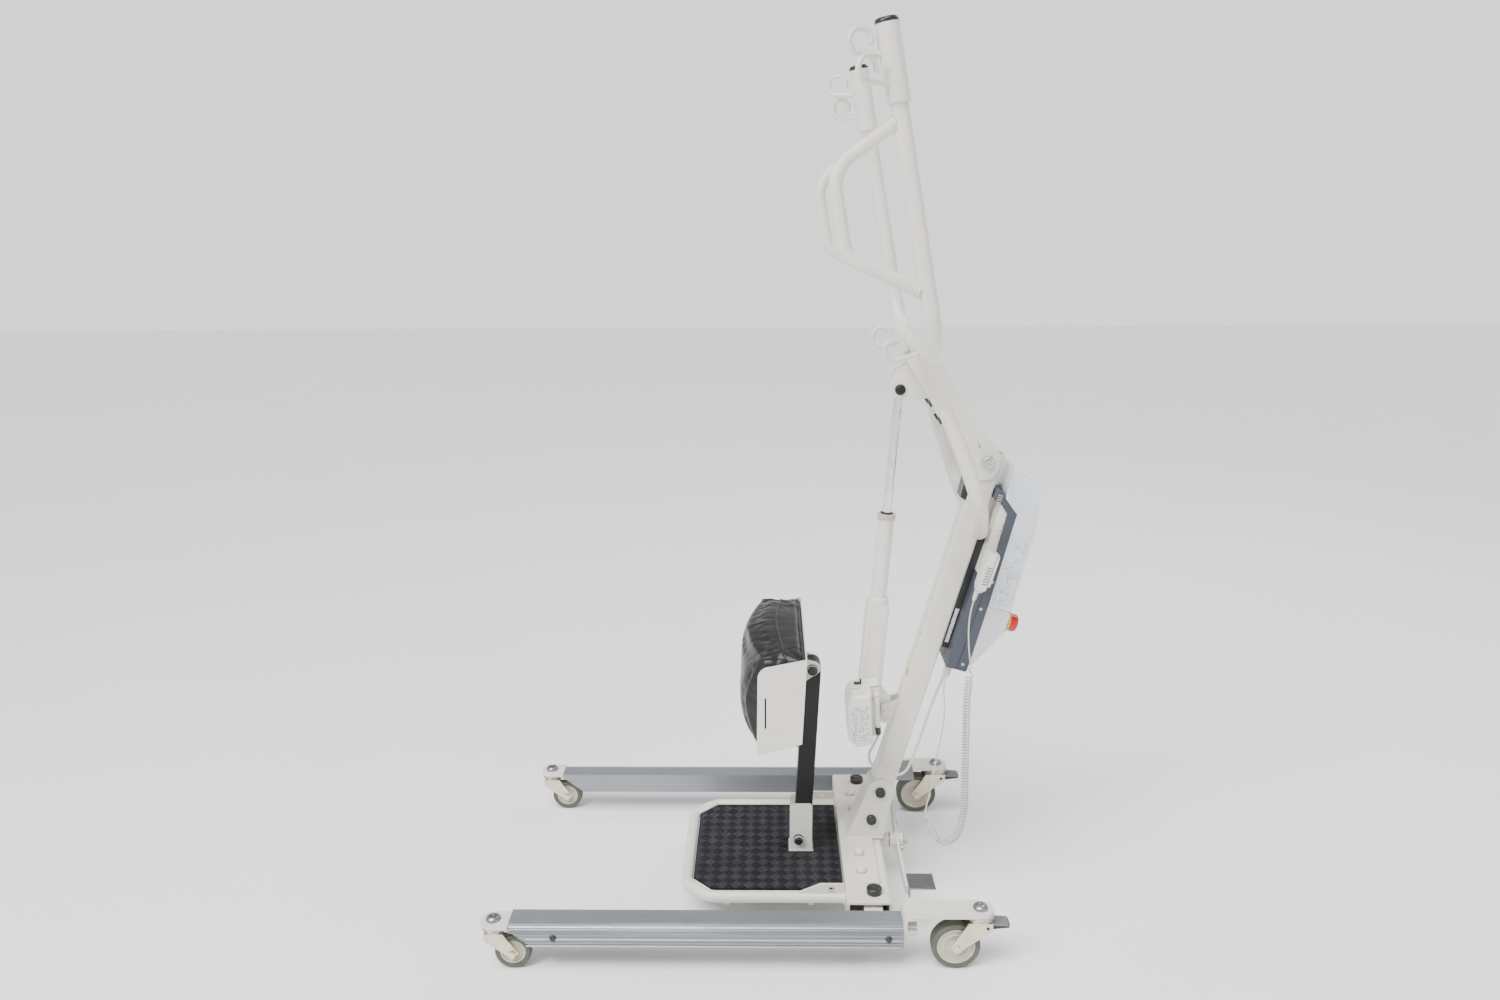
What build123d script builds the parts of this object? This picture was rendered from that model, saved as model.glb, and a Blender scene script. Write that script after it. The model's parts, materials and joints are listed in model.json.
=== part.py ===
from build123d import *
import os
from math import cos, hypot, pi, radians, sin, tan

# Sit to stand patient lift: a low base on four castors with two spreading legs, a leaning mast, a boom that a
# linear actuator raises, a U shaped arm frame with sling hooks and grip loops, a footplate, a knee pad on a
# post, a control box with a removable battery, and a handset on a curly cord.
#
# Frame: millimetres, +Z up, floor at Z = 0. The patient faces +X, so the open end of the base is -X and the
# mast and control box are +X. +Y is the patient's left. X = 0, Y = 0 is the middle of the box round it all.

os.makedirs("parts", exist_ok=True)

# ---------------------------------------------------------------- driving dimensions
SIDES = (("left", 1), ("right", -1))

# base
LEG_Y = 315                      # leg centre line from the mid-plane
LEG_WIDTH, LEG_LOW, LEG_TOP = 60, 59, 107
LEG_FRONT_X, LEG_REAR_X = -526, 270
LEG_NOSE_SLANT = 52              # how far the lower edge of the front end is cut back
PIVOT_X, PIVOT_Y = 220, 236      # leg spread pivot, a vertical pin
CROSS_FRONT_X, CROSS_REAR_X = 162, 254
CROSS_LOW, CROSS_TOP, CROSS_HALF, CROSS_WALL = 64, 116, 272, 5

# castors: front ones are small, rear ones are large and braked
FRONT_CASTOR_X, FRONT_CASTOR_Y, FRONT_WHEEL, FRONT_TRAIL = -559, 317, 75, 38
REAR_CASTOR_X, REAR_CASTOR_Y, REAR_WHEEL, REAR_TRAIL = 427, 308, 100, 48
BORE_GAP = 0.05                  # radial clearance of a running fit

# mast and boom
LEAN = 15.6                      # mast lean from vertical
MAST_SIZE, MAST_WALL = 50, 3
MAST_ROOT = (229.7, 150.0)       # a point on the mast's axis, (x, z)
BOOM_PIVOT = (456.0, 990.0)
BOOM_LEAN = 31.0                 # boom's axis from vertical at the top of its travel
BOOM_HALF_WIDTH, CHEEK_INNER = 33, 27.5
BOOM_ABOVE, BOOM_BELOW = 18.4, 40.6
YOKE_PIN = (272.0, 1140.0)       # actuator's upper pin
ACTUATOR_PIN = (261.0, 421.0)    # actuator's lower pin
ACTUATOR_LEAN = 4.2

# arm frame
ARM_Y, ARM_TUBE, ARM_WALL, ARM_BEND = 289, 32, 2.5, 100
ARM_FOOT = (306.0, 1230.0)       # centre of the cross tube, (x, z)
ARM_TOP_Z = 1796.0
ARM_LEAN = 10.6
GRIP_TUBE = 25

# footplate and knee pad
PLATE_TUBE, PLATE_Z, PLATE_Y, PLATE_FRONT_X = 25, 77, 193, -179
MAT_TOP = 84
KNEE_PIVOT = (96.7, 525.6)
KNEE_LEAN = 2.86
POST_SIZE = 38
KNEE_BASE = (68, 113.7)
SHELL_HALF = 195

# control box, measured along the mast (s) and square to it (t) from MAST_ROOT
BOX_HALF = 52

# cords
CURLY_OUTER, LEAD_DIA, CABLE_DIA = 17, 4.0, 6.0


# ---------------------------------------------------------------- helpers
def finish(part, name):
    """Label a finished piece and write it."""
    part.label = name
    export_step(part, f"parts/{name}.step")


def side_plane(y):
    """The XZ plane at a given Y. Its own normal points to -Y."""
    return Plane.XZ.offset(-y)


def on_mast(s, t=0.0):
    """(x, z) of a point s along the mast from its root and t behind its axis."""
    a = radians(LEAN)
    return (MAST_ROOT[0] + s * sin(a) + t * cos(a), MAST_ROOT[1] + s * cos(a) - t * sin(a))


def on_boom(along, above=0.0):
    """(x, z) of a point along the boom from its pivot and above the pivot line."""
    a = radians(BOOM_LEAN)
    return (BOOM_PIVOT[0] - along * sin(a) + above * cos(a),
            BOOM_PIVOT[1] + along * cos(a) + above * sin(a))


def on_arm(z):
    """X of the arm frame's centre line at height z."""
    return ARM_FOOT[0] - (z - ARM_FOOT[1]) * tan(radians(ARM_LEAN))


def on_actuator(up, off=0.0):
    """(x, z) of a point on the actuator, up its screw from the height of the lower pin."""
    a = radians(ACTUATOR_LEAN)
    foot = (YOKE_PIN[0] - (YOKE_PIN[1] - ACTUATOR_PIN[1]) * tan(a), ACTUATOR_PIN[1])
    return (foot[0] + up * sin(a) + off * cos(a), foot[1] + up * cos(a) - off * sin(a))


def on_knee(up, off=0.0):
    """(x, z) of a point on the knee post's line, up from the knee pivot."""
    a = radians(KNEE_LEAN)
    return (KNEE_PIVOT[0] + up * sin(a) + off * cos(a), KNEE_PIVOT[1] + up * cos(a) - off * sin(a))


def route_radii(points):
    """One radius for each corner: 0.45 of the shorter run over the tangent of half the turn."""
    radii = []
    for a, b, c in zip(points, points[1:], points[2:]):
        before, after = Vector(b) - Vector(a), Vector(c) - Vector(b)
        half_turn = radians(before.get_angle(after)) / 2
        radii.append(0.45 * min(before.length, after.length) / tan(half_turn))
    return radii


def tangent_plane(wire):
    """A sketch plane square to the start of a wire."""
    return Plane(origin=wire @ 0, z_dir=wire % 0)


def along_y(x, z, y_from, y_to):
    """Plane for a round piece that runs from y_from to y_to at (x, z), and its length."""
    return Plane(origin=(x, y_from, z), z_dir=(0, 1 if y_to > y_from else -1, 0)), abs(y_to - y_from)


def mast_plane(s):
    """Plane square to the mast at s, its x pointing to the rear."""
    a = radians(LEAN)
    x, z = on_mast(s)
    return Plane(origin=(x, 0, z), x_dir=(cos(a), 0, -sin(a)), z_dir=(sin(a), 0, cos(a)))


# ---------------------------------------------------------------- cross member
with BuildPart() as cross_member:
    with Locations((0, 0, (CROSS_LOW + CROSS_TOP) / 2)):
        with Locations(((CROSS_FRONT_X + CROSS_REAR_X) / 2, 0, 0)):
            Box(CROSS_REAR_X - CROSS_FRONT_X, 2 * CROSS_HALF, CROSS_TOP - CROSS_LOW)
    fillet(cross_member.edges().filter_by(Axis.Y), 6)
    with Locations(((CROSS_FRONT_X + CROSS_REAR_X) / 2, 0, (CROSS_LOW + CROSS_TOP) / 2)):
        Box(CROSS_REAR_X - CROSS_FRONT_X - 2 * CROSS_WALL, 2 * CROSS_HALF,
            CROSS_TOP - CROSS_LOW - 2 * CROSS_WALL, mode=Mode.SUBTRACT)
    # holes for the two leg pivot pins, through both walls
    with BuildSketch(Plane.XY.offset(CROSS_LOW)):
        with Locations((PIVOT_X, PIVOT_Y), (PIVOT_X, -PIVOT_Y)):
            Circle(10)
    extrude(amount=CROSS_TOP - CROSS_LOW, mode=Mode.SUBTRACT)
    # rear boss that carries the foot pedal rocker's pin
    ROCKER_X, ROCKER_Z = 297, 98
    boss_plane, boss_length = Plane(origin=(CROSS_REAR_X, 0, ROCKER_Z), z_dir=(1, 0, 0)), 20
    with BuildSketch(boss_plane):
        Circle(17)
    extrude(amount=boss_length)
    with BuildSketch(boss_plane):
        Circle(8)
    extrude(amount=boss_length, mode=Mode.SUBTRACT)
    with BuildSketch(Plane(origin=(CROSS_REAR_X - CROSS_WALL, 0, ROCKER_Z), z_dir=(1, 0, 0))):
        Circle(8)
    extrude(amount=CROSS_WALL, mode=Mode.SUBTRACT)
finish(cross_member.part, "cross_member")

TOP_PLATE_Z, TOP_PLATE_T = CROSS_TOP, 5
NUT_X, NUT_YS = 199.6, (97.5, 166.0)
with BuildPart() as cross_member_plate:
    with BuildSketch(Plane.XY.offset(TOP_PLATE_Z)):
        with Locations((198, 0)):
            RectangleRounded(74, 418, 4)
        with Locations(*[(NUT_X, side * y) for y in NUT_YS for side in (-1, 1)]):
            Circle(5, mode=Mode.SUBTRACT)
    extrude(amount=TOP_PLATE_T)
finish(cross_member_plate.part, "cross_member_plate")

# nuts and studs of the top plate, leg pivot pins, rocker pin and mast foot bolts
FOOT_BOLTS = (on_mast(88, -3), on_mast(18, -3))
FOOT_OUTER = 31
with BuildPart() as frame_bolts:
    for y in NUT_YS:
        for side in (-1, 1):
            with BuildSketch(Plane.XY.offset(TOP_PLATE_Z + TOP_PLATE_T)):
                with Locations((NUT_X, side * y)):
                    Circle(11)
            extrude(amount=2)
            with BuildSketch(Plane.XY.offset(TOP_PLATE_Z + TOP_PLATE_T + 2)):
                with Locations((NUT_X, side * y)):
                    RegularPolygon(9, 6)
            extrude(amount=8)
            with BuildSketch(Plane.XY.offset(TOP_PLATE_Z + TOP_PLATE_T + 10)):
                with Locations((NUT_X, side * y)):
                    Circle(5)
            extrude(amount=3)
    for side in (-1, 1):
        with BuildSketch(Plane.XY.offset(CROSS_LOW - 4)):
            with Locations((PIVOT_X, side * PIVOT_Y)):
                Circle(14)
        extrude(amount=4)
        with BuildSketch(Plane.XY.offset(CROSS_LOW)):
            with Locations((PIVOT_X, side * PIVOT_Y)):
                Circle(10)
        extrude(amount=CROSS_TOP - CROSS_LOW)
    # rocker pin, held in the boss, with its head behind the rocker
    with BuildSketch(Plane(origin=(CROSS_REAR_X - CROSS_WALL, 0, ROCKER_Z), z_dir=(1, 0, 0))):
        Circle(8)
    extrude(amount=61)
    with BuildSketch(Plane(origin=(CROSS_REAR_X - CROSS_WALL + 61, 0, ROCKER_Z), z_dir=(1, 0, 0))):
        RegularPolygon(13, 6)
    extrude(amount=9)
    for x, z in FOOT_BOLTS:
        plane, length = along_y(x, z, -FOOT_OUTER, FOOT_OUTER)
        with BuildSketch(plane):
            Circle(6)
        extrude(amount=length)
finish(frame_bolts.part, "frame_bolts")

with BuildPart() as frame_bolt_caps:
    for side in (-1, 1):
        with BuildSketch(Plane.XY.offset(CROSS_TOP)):
            with Locations((PIVOT_X, side * PIVOT_Y)):
                Circle(16)
        extrude(amount=11)
        for x, z in FOOT_BOLTS:
            plane, length = along_y(x, z, side * FOOT_OUTER, side * (FOOT_OUTER + 9))
            with BuildSketch(plane):
                Circle(11)
            extrude(amount=length)
    fillet(frame_bolt_caps.edges().filter_by(GeomType.CIRCLE).group_by(Axis.Z)[-1], 3)
finish(frame_bolt_caps.part, "frame_bolt_caps")

# ---------------------------------------------------------------- mast
FOOT_LOW = TOP_PLATE_Z + TOP_PLATE_T
with BuildPart() as mast_foot:
    with BuildSketch(side_plane(0)):
        with BuildLine():
            left_low, right_low = (177, FOOT_LOW), (260, FOOT_LOW)
            right_high, left_high = on_mast(88, 27), on_mast(88, -31)
            top = on_mast(117, -2)
            Polyline(left_high, left_low, right_low, right_high)
            ThreePointArc(right_high, top, left_high)
        make_face()
    extrude(amount=FOOT_OUTER, both=True)
    # the mast's socket, open to the rear
    with BuildSketch(mast_plane(-60)):
        with Locations((15, 0)):
            Rectangle(MAST_SIZE + 30, MAST_SIZE)
    extrude(amount=260, mode=Mode.SUBTRACT)
    for x, z in FOOT_BOLTS:
        plane, length = along_y(x, z, -FOOT_OUTER, FOOT_OUTER)
        with BuildSketch(plane):
            Circle(6)
        extrude(amount=length, mode=Mode.SUBTRACT)
finish(mast_foot.part, "mast_foot")

MAST_TOP_S = 893
with BuildPart() as mast_tube:
    with BuildSketch(mast_plane(-60)):
        RectangleRounded(MAST_SIZE, MAST_SIZE, 5)
        RectangleRounded(MAST_SIZE - 2 * MAST_WALL, MAST_SIZE - 2 * MAST_WALL, 3, mode=Mode.SUBTRACT)
    extrude(amount=MAST_TOP_S + 60)
    with BuildSketch(Plane.XY.offset(FOOT_LOW)):
        Rectangle(900, 200)
    extrude(amount=-200, mode=Mode.SUBTRACT)
    for x, z in (*FOOT_BOLTS, BOOM_PIVOT):
        plane, length = along_y(x, z, -FOOT_OUTER, FOOT_OUTER)
        with BuildSketch(plane):
            Circle(8 if (x, z) == BOOM_PIVOT else 6)
        extrude(amount=length, mode=Mode.SUBTRACT)
finish(mast_tube.part, "mast_tube")

with BuildPart() as mast_head_block:
    with BuildSketch(side_plane(0)):
        with BuildLine():
            Polyline(on_mast(778, -25), on_mast(782, -38), on_mast(852, -42), on_mast(858, -36),
                     on_mast(858, -25), close=True)
        make_face()
    extrude(amount=22, both=True)
finish(mast_head_block.part, "mast_head_block")

SHAFT_R = 8
with BuildPart() as boom_pivot_shaft:
    plane, length = along_y(*BOOM_PIVOT, -BOOM_HALF_WIDTH - 1, BOOM_HALF_WIDTH + 1)
    with BuildSketch(plane):
        Circle(SHAFT_R)
    extrude(amount=length)
    for side in (-1, 1):
        plane, length = along_y(*BOOM_PIVOT, side * (BOOM_HALF_WIDTH + 1), side * (BOOM_HALF_WIDTH + 7))
        with BuildSketch(plane):
            Circle(13)
        extrude(amount=length)
finish(boom_pivot_shaft.part, "boom_pivot_shaft")

# push handles: a bent tube on each side of the mast, for the carer's hands
HANDLE_LOW, HANDLE_BEND, HANDLE_TOP = (446, 40, 842), (420, 165, 922), (351, 108, 1112)
HANDLE_MID = (384, 152, 1026)
with BuildPart() as push_handles:
    for side in (1, -1):
        stations = [(x, side * y, z) for x, y, z in
                    ((446, MAST_SIZE / 2, 838), HANDLE_LOW, HANDLE_BEND, HANDLE_MID, HANDLE_TOP)]
        with BuildLine() as handle_line:
            FilletPolyline(*stations, radius=[14, 60, 220])
        with BuildSketch(tangent_plane(handle_line.line)):
            Circle(ARM_TUBE / 2 - 1)
        sweep(path=handle_line.line)
    # the lower ends stop flat on the sides of the mast
    Box(2000, MAST_SIZE, 4000, mode=Mode.SUBTRACT)
    fillet(push_handles.edges().group_by(Axis.Z)[-1], 9)
finish(push_handles.part, "push_handles")

# ---------------------------------------------------------------- boom
SHAFT_FIT = SHAFT_R + BORE_GAP
with BuildPart() as boom_beam:
    # full side profile, with the rounded head round the pivot
    with BuildSketch(side_plane(0)):
        with BuildLine():
            head_top, head_back, head_low = on_boom(38, 26), on_boom(-34, -8), on_boom(0, -BOOM_BELOW)
            Polyline(head_top, on_boom(74, BOOM_ABOVE), on_boom(280, BOOM_ABOVE),
                     on_boom(280, -BOOM_BELOW), head_low)
            ThreePointArc(head_low, on_boom(-26, -30), head_back)
            ThreePointArc(head_back, on_boom(-12, 22), head_top)
        make_face()
    extrude(amount=BOOM_HALF_WIDTH, both=True)
    # hollow beam
    with BuildSketch(side_plane(0)):
        with BuildLine():
            Polyline(on_boom(112, BOOM_ABOVE - 4), on_boom(290, BOOM_ABOVE - 4),
                     on_boom(290, 4 - BOOM_BELOW), on_boom(112, 4 - BOOM_BELOW), close=True)
        make_face()
    extrude(amount=BOOM_HALF_WIDTH - 4, both=True, mode=Mode.SUBTRACT)
    # open between the two cheeks, for the mast's top end at every boom angle
    with BuildSketch(side_plane(0)):
        with BuildLine():
            Polyline(on_boom(-60, 60), on_boom(72, 60), on_boom(72, -20), on_boom(112, -30),
                     on_boom(112, -70), on_boom(-60, -70), close=True)
        make_face()
    extrude(amount=CHEEK_INNER, both=True, mode=Mode.SUBTRACT)
    # saddle for the arm frame's cross tube
    plane, length = along_y(*ARM_FOOT, -60, 60)
    with BuildSketch(plane):
        Circle(ARM_TUBE / 2)
    extrude(amount=length, mode=Mode.SUBTRACT)
    plane, length = along_y(*BOOM_PIVOT, -60, 60)
    with BuildSketch(plane):
        Circle(SHAFT_FIT)
    extrude(amount=length, mode=Mode.SUBTRACT)
    # small slot in each cheek
    with BuildSketch(side_plane(0)):
        slot_x, slot_z = on_boom(40, 1)
        with Locations((slot_x, slot_z)):
            SlotOverall(14, 3.5, rotation=-65)
    extrude(amount=60, both=True, mode=Mode.SUBTRACT)
    keep = boom_beam.part.solids().sort_by(SortBy.VOLUME)[-1]
with BuildPart() as boom_beam_body:
    add(keep)
finish(boom_beam_body.part, "boom_beam")

YOKE_INNER, YOKE_PLATE = 13, 6
with BuildPart() as actuator_yoke:
    for side in (-1, 1):
        with BuildSketch(side_plane(side * YOKE_INNER + (0 if side > 0 else -YOKE_PLATE))):
            with BuildLine():
                Polyline(on_boom(178, -BOOM_BELOW), on_boom(262, -BOOM_BELOW), on_boom(262, -68),
                         on_boom(242, -100), on_boom(216, -100), on_boom(204, -88), close=True)
            make_face()
        extrude(amount=-YOKE_PLATE)
    plane, length = along_y(*YOKE_PIN, -40, 40)
    with BuildSketch(plane):
        Circle(10)
    extrude(amount=length, mode=Mode.SUBTRACT)
finish(actuator_yoke.part, "actuator_yoke")

SLEEVE_LOW_Z, SLEEVE_R = 1670, 21
with BuildPart() as arm_frame:
    ends = [(on_arm(ARM_TOP_Z), ARM_Y, ARM_TOP_Z), (ARM_FOOT[0], ARM_Y, ARM_FOOT[1]),
            (ARM_FOOT[0], -ARM_Y, ARM_FOOT[1]), (on_arm(ARM_TOP_Z), -ARM_Y, ARM_TOP_Z)]
    with BuildLine() as arm_line:
        FilletPolyline(*ends, radius=ARM_BEND)
    with BuildSketch(tangent_plane(arm_line.line)):
        Circle(ARM_TUBE / 2)
        Circle(ARM_TUBE / 2 - ARM_WALL, mode=Mode.SUBTRACT)
    sweep(path=arm_line.line)
finish(arm_frame.part, "arm_frame")

with BuildPart() as arm_sleeves:
    for side in (1, -1):
        low = Vector(on_arm(SLEEVE_LOW_Z), side * ARM_Y, SLEEVE_LOW_Z)
        high = Vector(on_arm(ARM_TOP_Z), side * ARM_Y, ARM_TOP_Z)
        with BuildSketch(Plane(origin=low, z_dir=high - low)):
            Circle(SLEEVE_R)
            Circle(ARM_TUBE / 2, mode=Mode.SUBTRACT)
        extrude(amount=(high - low).length)
finish(arm_sleeves.part, "arm_sleeves")

with BuildPart() as grip_loops:
    for side in (1, -1):
        y = side * ARM_Y
        stations = [(on_arm(1642) - 4, y, 1642), (112, y, 1562), (138, y, 1412), (on_arm(1352) - 4, y, 1352)]
        with BuildLine() as grip_line:
            FilletPolyline(*stations, radius=[62, 48])
        with BuildSketch(tangent_plane(grip_line.line)):
            Circle(GRIP_TUBE / 2)
        sweep(path=grip_line.line)
    # the ends are cut to sit on the arm tubes
    for side in (1, -1):
        low = Vector(*(on_arm(1300), side * ARM_Y, 1300))
        high = Vector(*(on_arm(1700), side * ARM_Y, 1700))
        with BuildSketch(Plane(origin=low, z_dir=high - low)):
            Circle(ARM_TUBE / 2)
        extrude(amount=(high - low).length, mode=Mode.SUBTRACT)
finish(grip_loops.part, "grip_loops")

# sling hooks: a rod that runs out to an open ring
HOOK_ROD, HOOK_RING = 10, 20      # rod diameter, radius of the ring's centre line
HOOK_TURN = 280                  # degrees of the ring, the rest is the gap for a sling loop
HOOK_STATIONS = [(1744, 20, 42), (1697, 42, 40)]
with BuildPart() as sling_hooks:
    for side in (1, -1):
        rods = [((on_arm(z), side * ARM_Y, z), (on_arm(z) - 14 - reach, side * (ARM_Y + out), z + 2),
                 SLEEVE_R) for z, out, reach in HOOK_STATIONS]
        rods.append(((ARM_FOOT[0], side * 127, ARM_FOOT[1]), (252, side * 127, 1214), ARM_TUBE / 2))
        for start, end, skin in rods:
            root, tip = Vector(start), Vector(end)
            out_dir = (tip - root).normalized()
            root = root + out_dir * (skin - 3)
            with BuildSketch(Plane(origin=root, z_dir=out_dir)):
                Circle(HOOK_ROD / 2)
            extrude(amount=(tip - root).length)
            # the ring turns up from the rod's tip, in the plane of the rod and Z
            ring_normal = out_dir.cross(Vector(0, 0, 1)).normalized()
            up_dir = ring_normal.cross(out_dir)
            with BuildSketch(Plane(origin=tip, x_dir=up_dir, z_dir=out_dir)):
                Circle(HOOK_ROD / 2)
            revolve(axis=Axis(tip + up_dir * HOOK_RING, ring_normal), revolution_arc=HOOK_TURN)
    for side in (1, -1):
        low = Vector(on_arm(SLEEVE_LOW_Z), side * ARM_Y, SLEEVE_LOW_Z)
        high = Vector(on_arm(ARM_TOP_Z), side * ARM_Y, ARM_TOP_Z)
        with BuildSketch(Plane(origin=low, z_dir=high - low)):
            Circle(SLEEVE_R)
        extrude(amount=(high - low).length, mode=Mode.SUBTRACT)
    plane, length = along_y(*ARM_FOOT, -160, 160)
    with BuildSketch(plane):
        Circle(ARM_TUBE / 2)
    extrude(amount=length, mode=Mode.SUBTRACT)
finish(sling_hooks.part, "sling_hooks")

# plastic plugs: domed caps on the arm tops and two plugs under the boom
with BuildPart() as boom_plugs:
    for side in (1, -1):
        low = Vector(on_arm(SLEEVE_LOW_Z), side * ARM_Y, SLEEVE_LOW_Z)
        high = Vector(on_arm(ARM_TOP_Z), side * ARM_Y, ARM_TOP_Z)
        with BuildSketch(Plane(origin=high, z_dir=high - low)):
            Circle(SLEEVE_R)
        extrude(amount=9)
    fillet(boom_plugs.edges().filter_by(GeomType.CIRCLE).group_by(Axis.Z)[-1], 6)
    for along in (168, 126):
        x, z = on_boom(along, -BOOM_BELOW)
        below = Vector(*on_boom(along, -BOOM_BELOW - 1)) - Vector(x, z)
        with BuildSketch(Plane(origin=(x, 0, z), z_dir=(below.X, 0, below.Y))):
            with Locations((0, 24), (0, -24)):
                Circle(8)
        extrude(amount=5)
finish(boom_plugs.part, "boom_plugs")

# ---------------------------------------------------------------- actuator
ROD_R = 10
GUIDE_LOW, GUIDE_TOP = 258, 452        # up the screw from the lower pin's height
HOUSING_LOW = 62
ROD_LOW, BORE_LOW = 335, 90            # the rod comes down by 242 as the boom lowers
UP = radians(ACTUATOR_LEAN)


def screw_plane(up):
    """Plane square to the actuator's screw."""
    x, z = on_actuator(up)
    return Plane(origin=(x, 0, z), x_dir=(cos(UP), 0, -sin(UP)), z_dir=(sin(UP), 0, cos(UP)))


with BuildPart() as actuator_column:
    # square housing, then the round guide tube with its wiper ring
    with BuildSketch(screw_plane(HOUSING_LOW)):
        RectangleRounded(48, 46, 5)
    extrude(amount=GUIDE_LOW - HOUSING_LOW - 6)
    with BuildSketch(screw_plane(GUIDE_LOW - 6)):
        Circle(23)
    extrude(amount=6)
    with BuildSketch(screw_plane(GUIDE_LOW)):
        Circle(17.5)
    extrude(amount=GUIDE_TOP - GUIDE_LOW - 8)
    with BuildSketch(screw_plane(GUIDE_TOP - 8)):
        Circle(18.5)
    extrude(amount=8)
    # gear end with the rear eye on the lower pin
    with BuildSketch(side_plane(0)):
        with BuildLine():
            Polyline(on_actuator(HOUSING_LOW, -26), on_actuator(HOUSING_LOW, 24), (ACTUATOR_PIN[0] + 13, 445),
                     (ACTUATOR_PIN[0] + 13, 410), (ACTUATOR_PIN[0] - 8, 402), (232, 388),
                     on_actuator(-33, -30), close=True)
        make_face()
    extrude(amount=10, both=True)
    with BuildSketch(side_plane(0)):
        with BuildLine():
            Polyline(on_actuator(HOUSING_LOW, -26), on_actuator(HOUSING_LOW, 24), on_actuator(-30, 20),
                     on_actuator(-33, -30), close=True)
        make_face()
    extrude(amount=23, both=True)
    # bore for the rod, closed below
    with BuildSketch(screw_plane(GUIDE_TOP)):
        Circle(ROD_R + BORE_GAP)
    extrude(amount=BORE_LOW - GUIDE_TOP, mode=Mode.SUBTRACT)
    plane, length = along_y(*ACTUATOR_PIN, -30, 30)
    with BuildSketch(plane):
        Circle(6 + BORE_GAP)
    extrude(amount=length, mode=Mode.SUBTRACT)
finish(actuator_column.part, "actuator_column")

MOTOR_FACE_Y, MOTOR_STEP_Y, MOTOR_END_Y = -23, -70, -114
with BuildPart() as actuator_motor:
    # square motor housing on the gear end, narrower past the step that the lead leaves
    for y_from, y_to, rear in ((MOTOR_FACE_Y, MOTOR_STEP_Y, 240), (MOTOR_STEP_Y, MOTOR_END_Y, 220)):
        with BuildSketch(side_plane(y_from)):
            with BuildLine():
                Polyline((178, 500), (rear - 2, 507), (rear + 3, 392), (190, 384), (172, 400), (169, 452))
                ThreePointArc((169, 452), (170, 484), (178, 500))
            make_face()
        extrude(amount=y_from - y_to)
    fillet(actuator_motor.faces().sort_by(Axis.Y)[0].edges(), 6)
    # short lead with its gland on the step and a black sleeve at its end
    lead = [(232, MOTOR_STEP_Y, 486), (232, -90, 485), (234, -89, 440), (237, -86, 404)]
    with BuildLine() as lead_line:
        FilletPolyline(*lead, radius=[9, 60])
    with BuildSketch(tangent_plane(lead_line.wires()[0])):
        Circle(5)
    sweep(path=lead_line.wires()[0])
finish(actuator_motor.part, "actuator_motor")

with BuildPart() as actuator_rod:
    eye = 14
    with BuildSketch(screw_plane(ROD_LOW)):
        Circle(ROD_R)
    rod_top = hypot(YOKE_PIN[0] - on_actuator(0)[0], YOKE_PIN[1] - on_actuator(0)[1])
    extrude(amount=rod_top - ROD_LOW)
    plane, length = along_y(*YOKE_PIN, -11, 11)
    with BuildSketch(plane):
        Circle(eye)
    extrude(amount=length)
    # short pin through the eye, between and through the yoke plates' wide holes
    plane, length = along_y(*YOKE_PIN, -12.4, 12.4)
    with BuildSketch(plane):
        Circle(8)
    extrude(amount=length)
finish(actuator_rod.part, "actuator_rod")

with BuildPart() as actuator_mast_bracket:
    # two ears on the mast's front face, with the lower pin between them
    for side in (-1, 1):
        with BuildSketch(side_plane(side * 13 + (0 if side > 0 else -5))):
            with BuildLine():
                Polyline(on_mast(246, -25), on_mast(308, -25), (250, 440), (246, 400), close=True)
            make_face()
        extrude(amount=-5)
    plane, length = along_y(*ACTUATOR_PIN, -20, 20)
    with BuildSketch(plane):
        Circle(6)
    extrude(amount=length)
    for side in (-1, 1):
        plane, length = along_y(*ACTUATOR_PIN, side * 18, side * 22)
        with BuildSketch(plane):
            Circle(9)
        extrude(amount=length)
finish(actuator_mast_bracket.part, "actuator_mast_bracket")

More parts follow.
